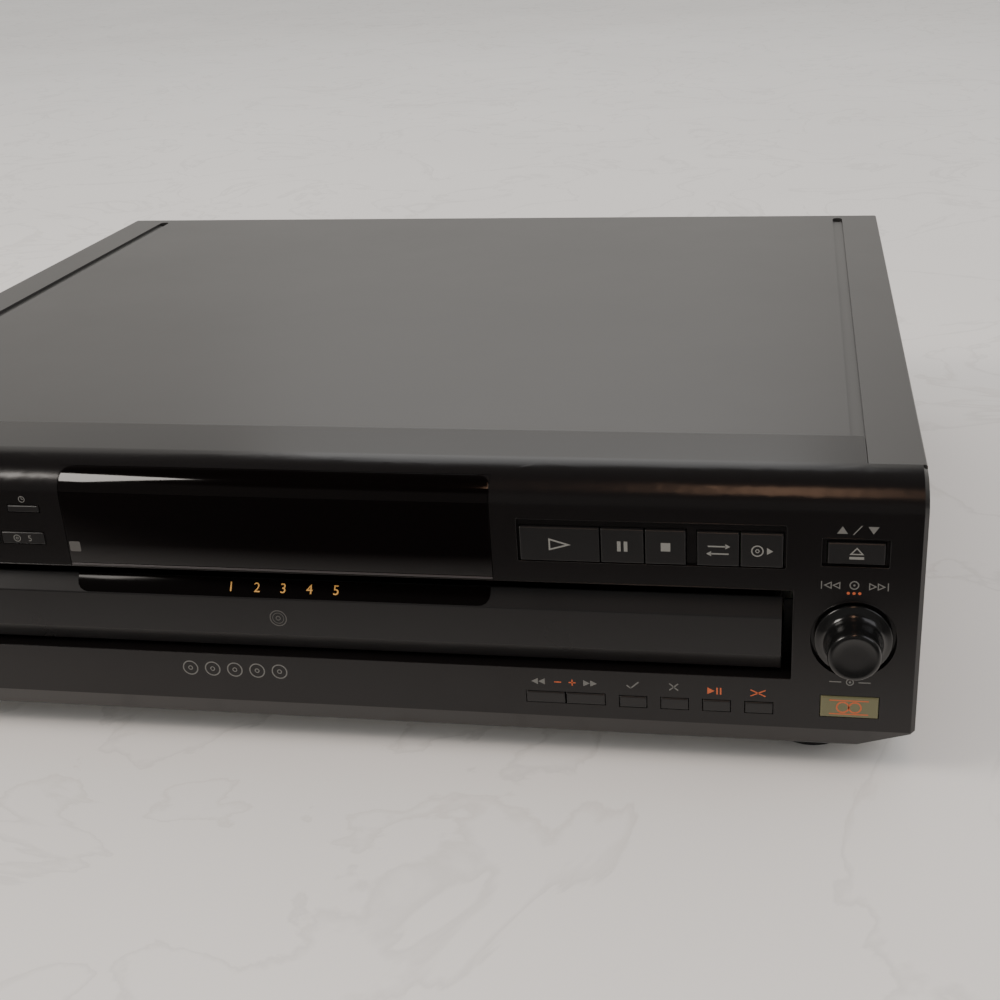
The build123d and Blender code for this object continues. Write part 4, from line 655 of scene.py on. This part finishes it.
def printed(name, marks, body, ink, plane=FACE, proud=0.03, round_mm=0.0):
    """Prints marks on a plane: each is an outline and the outline of its hole, or None."""
    build = bmesh.new()
    for outline, hole in marks:
        walls = [[placed_on(plane, x, z, out) for x, z in loop]
                 for loop in (outline, hole) if loop for out in (proud, -0.05)]
        if hole is None:
            loft(build, *walls)
            continue
        front, back, front_in, back_in = corners_of(build, *walls)
        for one, two in ((front, back), (back, back_in), (back_in, front_in), (front_in, front)):
            band(build, one, two)
    piece(name, build, body, ink, round_mm)


print("mark helpers ready")

# %% [markdown]
# ## The dark inlay of the drawer
# The window seems to run on down over the drawer's top bevel: there a thin plate of back-painted
# acrylic is let in, with round lower corners. It lies in the plane of the bevel, so the same tool
# that prints marks can make it, only thicker.

# %% Drawer inlay
left, right, top = -76.0, 73.0, 6.95
foot = [(x, z) for x, z in rounded_box(left, 0.35, right, 14.0, 4.0) if z < 6.0]
inlay = [p for p in foot if p[0] > 0] + [(right, top), (left, top)] + [p for p in foot if p[0] < 0]
printed("drawer_inlay", [(inlay, None)], "drawer", inlay_acrylic, BEVEL, 0.2, 0.06)
print("inlay", len(inlay), "corners")

# %% [markdown]
# ## Symbols on the keys
# Each key's marks are a list of outlines in the coordinates of the face, so one table from key to
# marks prints them all. They ride on their own key and move in when it is pressed.

# %% Symbols on the keys
key_marks = {
    "play_key": [arrowhead(98.3, 86.0, 7.4, 4.4, "right", 0.55)],
    "pause_key": [patch_of(117.1, 84.2, 118.3, 87.8), patch_of(119.3, 84.2, 120.5, 87.8)],
    "stop_key": [patch_of(131.3, 84.7, 134.4, 87.7)],
    "exchange_key": [stroke(146.4, 87.0, 152.2, 87.0, 0.5), arrowhead(152.8, 87.0, 1.6, 1.8, "right"),
                     stroke(147.3, 84.4, 153.1, 84.4, 0.5), arrowhead(146.7, 84.4, 1.6, 1.8, "left")],
    "disc_skip_key": [ring(162.2, 85.8, 2.0, 0.42), ring(162.2, 85.8, 0.7, 0.3),
                      arrowhead(166.2, 85.8, 2.0, 2.4, "right")],
    "open_close_key": [arrowhead(193.3, 86.8, 2.6, 4.6, "up", 0.4), patch_of(191.0, 83.9, 195.6, 84.8)],
}
for key, marks in key_marks.items():
    printed(key.replace("_key", "_symbol"), marks, key, white_ink, KEY_FACE)
link_marks = [ring(x, 29.1, 2.2, 0.5) for x in (191.0, 195.0)]
link_marks += [patch_of(186.6, z, 199.4, z + 0.4) for z in (26.3, 31.5)]
printed("link_symbol", link_marks, "link_key", orange_ink, KEY_FACE)
print("symbols on", len(key_marks) + 1, "keys")

# %% [markdown]
# ## Marks on the panel
# Over the keys and round the dial the panel is printed with arrows, a tick, a cross and rings.
# They stay with the case: dimmed white for a key's first use and orange for its second.

# %% Marks on the panel
panel_marks = [
    arrowhead(188.6, 93.9, 2.6, 3.4, "up"), stroke(192.0, 92.3, 194.6, 95.5, 0.35),
    arrowhead(198.2, 93.9, 2.6, 3.4, "down"),
    # over and under the dial
    patch_of(182.5, 72.9, 182.85, 75.7),
    *[arrowhead(x, 74.3, 2.6, 2.7, "left", 0.35) for x in (184.6, 187.3)],
    ring(193.0, 74.5, 1.55, 0.4), disc(193.0, 74.5, 0.35),
    *[arrowhead(x, 74.2, 2.6, 2.7, "right", 0.35) for x in (198.9, 201.6)],
    patch_of(203.4, 72.8, 203.75, 75.6),
    patch_of(186.3, 38.4, 190.2, 38.8), ring(193.0, 38.6, 1.3, 0.35), disc(193.0, 38.6, 0.4),
    patch_of(195.8, 38.4, 199.7, 38.8),
    # over the lower keys
    *[arrowhead(x, 33.6, 2.3, 2.4, "left") for x in (87.2, 89.6)],
    *[arrowhead(x, 33.6, 2.3, 2.4, "right") for x in (105.2, 107.6)],
    stroke(118.9, 33.6, 120.4, 32.4, 0.45), stroke(120.2, 32.4, 123.0, 35.0, 0.45),
    *cross(133.4, 32.4, 136.4, 35.0, 0.45),
]
for place in range(5):      # a row of plain discs where the kind of player is named
    x = -37.6 + 8.3 * place
    panel_marks += [ring(x, 32.6, 2.9, 0.45), ring(x, 32.6, 0.9, 0.35)]
printed("panel_marks", panel_marks, "case", dim_ink)
orange_marks = [
    patch_of(94.0, 33.4, 96.4, 33.8), patch_of(99.0, 33.4, 101.4, 33.8), patch_of(100.0, 32.4, 100.4, 34.8),
    *[disc(x, 71.6, 0.5) for x in (191.2, 193.0, 194.8)], arrowhead(147.4, 32.9, 2.4, 2.6, "right"),
    *[patch_of(x, 31.6, x + 0.5, 34.2) for x in (149.2, 150.4)], *cross(160.6, 31.6, 165.6, 34.0, 0.4),
]
printed("panel_marks_orange", orange_marks, "case", orange_ink)
print(len(panel_marks), "marks on the panel")

# %% [markdown]
# ## Marks of the left-hand keys
# The five ways of playing have small signs: an arrow for straight on, a cross for shuffled, lines
# for a list, a loop for repeat, a clock for time. A ring with a bar marks the power key.

# %% Marks of the left-hand keys
level = 96.9
mode_marks = [
    stroke(-159.6, level, -155.6, level, 0.35), arrowhead(-154.9, level, 1.4, 1.6, "right"),
    *cross(-142.6, level - 0.8, -138.4, level + 0.8, 0.35),
    *[patch_of(-125.2, level + low, -121.0, level + low + 0.35) for low in (0.55, -0.18, -0.9)],
    ring(-106.1, level, 1.2, 0.3), arrowhead(-104.9, level, 1.2, 1.4, "up"),
    ring(-89.1, level, 1.2, 0.28), stroke(-89.1, level, -89.1, level + 0.8, 0.25),
    stroke(-89.1, level, -88.5, level, 0.25),
    ring(-193.0, 78.2, 1.5, 0.4), patch_of(-193.25, 78.4, -192.75, 80.2),
]
printed("mode_marks", mode_marks, "case", dim_ink)
receiver = rounded_box(-74.6, 77.6, -70.6, 81.4, 0.5)
printed("receiver_mark", [(receiver, None)], "case", grey_ink)
print("left-hand marks:", len(mode_marks))

# %% [markdown]
# ## Numbers
# A number comes from the built-in font as a curve. It is made a mesh while it lies at the origin
# and only then put on its plane. Each disc key has its number, and so has each well.


# %% Numbers
def number(name, text, height, x, z, body, ink, plane=FACE, proud=0.03):
    """A plain number, made a mesh first and then put on its plane."""
    curve = bpy.data.curves.new(name, "FONT")
    curve.body, curve.size, curve.extrude = text, height * MM / 0.7, 0.04 * MM
    curve.align_x = curve.align_y = "CENTER"
    curve.resolution_u = 4
    build = baked(put(name, curve))
    up = Vector(plane[1]).normalized()
    turn = Matrix((Vector((1, 0, 0)), up, Vector((1, 0, 0)).cross(up))).transposed().to_4x4()
    build.transform(Matrix.Translation(placed_on(plane, x, z, proud - 0.04) * MM) @ turn)
    bmesh.ops.remove_doubles(build, verts=build.verts, dist=0.001 * MM)
    piece(name, build, body, ink)


for place in range(5):
    count = place + 1
    middle = -83.5 - (4 - place) * 17.0 - 7.85
    key = f"disc_{count}_key"
    number(f"disc_{count}_number", str(count), 2.2, middle + 2.6, 82.1, key, dim_ink, KEY_FACE)
    rings = [ring(middle - 2.2, 82.2, 1.35, 0.3), ring(middle - 2.2, 82.2, 0.5, 0.22)]
    printed(f"disc_{count}_symbol", rings, key, dim_ink, KEY_FACE)
# gold figures on the inlay, one for each well
for place in range(5):
    number(f"well_figure_{place + 1}", str(place + 1), 3.4, -19.0 + 9.5 * place, 3.7, "drawer", gold_ink,
           BEVEL, 0.24)
rings = [ring(-2.5, 53.6, radius, width) for radius, width in ((3.1, 0.35), (2.1, 0.2), (0.9, 0.3))]
printed("drawer_disc_mark", rings, "drawer", grey_ink, DRAWER_FACE)
print("numbers 1 to 5, on keys and on the inlay")

# %% [markdown]
# ## Geometry Nodes for what repeats
# Screws, capacitors and the ribs of the table are each one small pattern set on many points. One
# tree does that: it takes the points, a pattern object and a turn, sets the pattern on every
# point and makes the copies real, because an export drops instances.


# %% A tree that repeats a pattern
def repeat_tree():
    """Builds the node group that sets a pattern on each point of a mesh."""
    group = bpy.data.node_groups.new("repeat_pattern", "GeometryNodeTree")
    face = group.interface
    face.new_socket("Geometry", in_out="OUTPUT", socket_type="NodeSocketGeometry")
    inputs = {"Geometry": "Geometry", "Pattern": "Object", "Turn": "Vector", "Finish": "Material"}
    for label, kind in inputs.items():
        face.new_socket(label, in_out="INPUT", socket_type="NodeSocket" + kind)
    start = add(group, "NodeGroupInput").outputs
    pattern = add(group, "GeometryNodeObjectInfo", {"Object": start["Pattern"]})
    own_turn, own_size = (
        add(group, "GeometryNodeInputNamedAttribute", {"Name": label},
            data_type="FLOAT_VECTOR").outputs["Attribute"]
        for label in ("own_turn", "own_size"))
    whole = add(group, "ShaderNodeVectorMath", {0: start["Turn"], 1: own_turn}, operation="ADD")
    turn = add(group, "FunctionNodeEulerToRotation", {0: whole.outputs[0]})
    copies = add(group, "GeometryNodeInstanceOnPoints", {
        "Points": start["Geometry"], "Instance": pattern.outputs["Geometry"], "Rotation": turn.outputs[0],
        "Scale": own_size})
    real = add(group, "GeometryNodeRealizeInstances", {0: copies.outputs[0]})
    painted = add(group, "GeometryNodeSetMaterial",
                  {"Geometry": real.outputs[0], "Material": start["Finish"]})
    add(group, "NodeGroupOutput", {"Geometry": painted.outputs[0]})
    return group


repeating = repeat_tree()


def repeated(name, pattern, places, body, finish, turn=(0, 0, 0), turns=None, sizes=None):
    """Sets a pattern bmesh, drawn in millimetres round the origin, on places in millimetres."""
    shape = bpy.data.meshes.new(name + "_pattern")
    bmesh.ops.recalc_face_normals(pattern, faces=pattern.faces)
    pattern.to_mesh(shape)
    pattern.free()
    model = put(name + "_pattern", shape)
    points = bpy.data.meshes.new(name)
    points.from_pydata([Vector(p) * MM for p in places], [], [])
    still, whole = [(0, 0, 0)] * len(places), [(1, 1, 1)] * len(places)
    for label, values in (("own_turn", turns or still), ("own_size", sizes or whole)):
        field = points.attributes.new(label, "FLOAT_VECTOR", "POINT")
        field.data.foreach_set("vector", [c for value in values for c in value])
    holder = put(name, points)
    modifier = holder.modifiers.new("repeat", "NODES")
    modifier.node_group = repeating
    given = {"Pattern": model, "Turn": turn, "Finish": finish}
    for item in repeating.interface.items_tree:
        if item.item_type == "SOCKET" and item.in_out == "INPUT" and item.name in given:
            modifier[item.identifier] = given[item.name]
    holder.update_tag()
    bpy.context.view_layer.update()
    build = baked(holder)
    bpy.data.objects.remove(model)
    return piece(name, build, body, finish)


print("tree", repeating.name, "with", len(repeating.nodes), "nodes")

# %% [markdown]
# ## Screws
# The CAD screws are plain cones and domes. Here each head has its cross: the pattern is a turned
# head whose middle is pressed in along two arms. Seven of them stand for the CAD ones.


# %% Screw heads
def screw_pattern(profile, arm, width, floor):
    """A turned head with a cross-shaped recess; profile runs from the rim of the recess outwards."""
    build = bmesh.new()
    top = profile[0][1]
    half = width / 2
    cross_line = [(half, half), (half, arm), (-half, arm), (-half, half), (-arm, half), (-arm, -half),
                  (-half, -half), (-half, -arm), (half, -arm), (half, -half), (arm, -half), (arm, half)]
    outer = corners_of(build, *[[(r * c, r * s, height) for c, s in around(48)] for r, height in profile])
    lip, pit = corners_of(build, [(x, y, top) for x, y in cross_line],
                          [(x * 0.8, y * 0.8, floor) for x, y in cross_line])
    for one, two in [*zip(outer, outer[1:]), (lip, pit)]:
        band(build, one, two)
    build.faces.new(outer[-1])
    build.faces.new(pit)
    edges = [build.edges.get((row[k], row[(k + 1) % len(row)]))
             for row in (lip, outer[0]) for k in range(len(row))]
    bmesh.ops.triangle_fill(build, use_beauty=True, edges=edges)
    return build


flat_head = ([(2.5, 0.0), (2.85, -0.05), (2.9, -0.15), (1.45, -1.75), (1.4, -4.9)], 1.5, 0.55, -1.1)
round_head = ([(1.9, 1.5), (2.5, 1.2), (2.9, 0.6), (2.95, 0.05), (1.45, 0.0), (1.4, -4.9)], 1.4, 0.55, 0.4)
quarter = math.pi / 2
screw_rows = (
    ("right", flat_head, [(214.98, y, 17.0) for y in (-110.0, 110.0)], (0, quarter, 0)),
    ("left", flat_head, [(-214.98, y, 17.0) for y in (-110.0, 110.0)], (0, -quarter, 0)),
    ("rear", round_head, [(x, 188.0, 17.0) for x in (-120, 0, 60)], (-quarter, 0, 0)),
)
screws = [repeated("screws_" + side, screw_pattern(*head), places, "case", blackened, turn)
          for side, head, places, turn in screw_rows]
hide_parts("case_screws")
print("screw faces:", [len(s.data.polygons) for s in screws])

# %% [markdown]
# ## The table of wells
# Each well has a raised ring for the small 80 mm disc, broken where the reading unit comes
# through, and the table's rim has short ribs that let a finger turn it. The numbers are moulded
# beside the wells. All of it turns with the table.


# %% Table details
table_y, table_top = -8.0, 57.0


def on_table(radius, degrees):
    """The (x, y) of a point at a distance from the table's axis, and its direction in radians."""
    a = math.radians(degrees)
    return radius * math.cos(a), table_y + radius * math.sin(a), a


well_angles = [90 + 72 * k for k in range(5)]
ring_section = ((40.4, 53.4), (42.4, 53.4), (42.1, 53.9), (40.7, 53.9))      # radius, height
build = bmesh.new()
for angle in well_angles:
    cx, cy, _ = on_table(104.0, angle)
    rows = []
    for k in range(73):      # from 38 to 322 degrees round the well
        a = math.radians(angle + 38 + 284 * k / 72)
        rows.append([(cx + r * math.cos(a), cy + r * math.sin(a), z) for r, z in ring_section])
    loft(build, *rows)
piece("small_disc_rings", build, "table", tray_styrene, 0.0, 30.0)

ribs = [on_table(158.5, angle + 36 + 1.7 * k) for angle in well_angles for k in range(-4, 5)]
rib = bmesh.new()
rib_section = [(-0.55, -0.1), (0.55, -0.1), (0.3, 0.35), (-0.3, 0.35)]
loft(rib, *[[(x, y, z) for y, z in rib_section] for x in (-3.0, 3.0)])
repeated("rim_ribs", rib, [(x, y, table_top) for x, y, _ in ribs], "table", tray_styrene,
         turns=[(0, 0, a) for _, _, a in ribs])

for k, angle in enumerate(well_angles):
    x, y, _ = on_table(138.0, angle + 36)
    plane = ((0, y, table_top), (0, 1, 0))
    number(f"table_figure_{k + 1}", str(k + 1), 6.5, x, 0.0, "table", white_ink, plane)
print("rings", len(well_angles), "ribs", len(ribs))

# %% [markdown]
# ## Small parts inside
# Capacitors wear a printed vinyl sleeve with a bare top, chips stand on two rows of legs, and the
# resistors between them are one pattern too.

# %% On the main board
board_top = 16.6
can_groups = {(8.0, 20.0): [(196, 60), (196, 85)], (5.0, 14.0): [(190, 110), (204, 112), (196, 130)],
              (3.0, 4.8): [(100, 60), (120, 160), (140, 60), (160, 160)]}      # (radius, height): places
can_places = [(x, y, board_top) for group in can_groups.values() for x, y in group]
can_sizes = [(radius, radius, height) for (radius, height), group in can_groups.items() for _ in group]
sleeve = bmesh.new()
turned(sleeve, [(0, 0.01), (1.02, 0.01), (1.02, 0.9), (0.99, 0.93), (1.02, 0.96), (1.0, 1.005), (0.8, 1.01),
                (0.8, 1.002), (0, 1.002)], (0, 0, 0), (0, 0, 1), 40)
repeated("capacitor_sleeves", sleeve, can_places, "case", sleeve_vinyl, sizes=can_sizes)
lid = bmesh.new()
turned(lid, [(0, 1.0), (0.79, 1.0), (0.79, 1.012), (0, 1.012)], (0, 0, 0), (0, 0, 1), 40)
repeated("capacitor_tops", lid, can_places, "case", aluminium, sizes=can_sizes)

chips = [(105, 110), (130, 135), (100, 40)]
repeated("chip_bodies", cut_box(bmesh.new(), (16.3, 16.3, 2.5), 0.35),
         [(x, y, board_top + 1.4) for x, y in chips], "case", chip_epoxy)
leg_places = [(x + side * 9.0, y + 1.27 * row, board_top + 0.3)
              for x, y in chips for side in (-1, 1) for row in range(-5, 6)]
repeated("chip_legs", cut_box(bmesh.new(), (1.8, 0.5, 0.25), 0.05), leg_places, "case", nickel)
resistor = bmesh.new()
turned(resistor, [(0, -5.0), (0.3, -5.0), (0.3, -3.2), (0.9, -3.1), (1.15, -2.4), (0.95, -1.8), (0.95, 1.8),
                  (1.15, 2.4), (0.9, 3.1), (0.3, 3.2), (0.3, 5.0), (0, 5.0)], (0, 0, 0), (1, 0, 0), 16)
resistor_places = [(80 + 14 * k, 80 + 4.2 * row, board_top + 1.2) for k in range(6) for row in range(4)]
repeated("resistors", resistor, resistor_places, "case", coil_tape)
print("board parts:", len(can_places), "cans,", len(leg_places), "legs,", len(resistor_places), "resistors")

# %% [markdown]
# ## Coil, lens and ring
# Yellow tape wraps the transformer's winding, a small lens looks up from the pickup, and a ring of
# cork rubber on the turntable grips the disc. They tell a viewer what the plain parts are for.

# %% Coil, lens and ring
coil_x, coil_y = -181, 157
coil_outline = rounded_box(coil_x - 15.3, coil_y - 22.3, coil_x + 15.3, coil_y + 22.3, 5.2)
build = bmesh.new()
loft(build, *[[(x, y, z) for x, y in coil_outline] for z in (19.0, 47.0)])
piece("coil_wrap", build, "case", coil_tape, 0.6)

build = bmesh.new()
turned(build, [(0, 34.2), (3.2, 34.2), (3.2, 34.6), (2.9, 34.75), (2.4, 35.0), (1.6, 35.25), (0.8, 35.36),
               (0, 35.4)], (0, 120.0, 0), (0, 0, 1), 48)
piece("objective_lens", build, "pickup", lens_glass)
build = bmesh.new()
turned(build, [(8.2, 36.4), (15.6, 36.4), (15.6, 36.62), (15.2, 36.75), (8.6, 36.75), (8.2, 36.62),
               (8.2, 36.4)], (0, 96.0, 0), (0, 0, 1))
piece("turntable_ring", build, "turntable", cork_rubber)
print("coil, lens and ring made")

# %% [markdown]
# ## Sockets at the back
# A phono socket is a nickel ring round a coloured insulator with a hole for the plug's pin: red
# marks the right channel and white the left, on every maker's sockets. The plain CAD block has
# solid barrels, so a block without them stands for it and leaves room for rings and insulators.

# %% Phono sockets
phono_places = ((187.0, white_styrene, "white"), (200.0, red_styrene, "red"))
phono_z, optical_z = 29.0, 42.0
build = cut_box(bmesh.new(), (25.6, 12.0, 30.6), 0.5, 2, (193.5, 180.9, 31.9))
# the optical socket: a collar with a dished hole
turned(build, [(0, 186.0), (4.2, 186.0), (4.2, 188.7), (3.95, 189.0), (2.9, 189.0), (2.6, 188.7),
               (2.6, 187.3), (0, 187.3)], (193.5, 0, optical_z), (0, 1, 0), 48)
block = piece("socket_block", build, "case", jack_phenolic, 0.0, 30.0)
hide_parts("jack_block")

shell = bmesh.new()
turned(shell, [(3.3, -1.6), (4.2, -1.6), (4.2, 6.6), (4.0, 6.85), (3.5, 6.85), (3.3, 6.6), (3.3, -1.6)],
       (0, 0, 0), (0, 1, 0), 48)
repeated("socket_shells", shell, [(x, 188.0, phono_z) for x, _, _ in phono_places], "case", nickel)
for x, finish, colour in phono_places:
    build = bmesh.new()
    turned(build, [(1.65, 186.4), (3.25, 186.4), (3.25, 194.3), (3.0, 194.55), (1.9, 194.55), (1.65, 194.3),
                   (1.65, 186.4)], (x, 0, phono_z), (0, 1, 0), 48)
    piece(f"socket_insert_{colour}", build, "case", finish)
print("two phono sockets and an optical one")
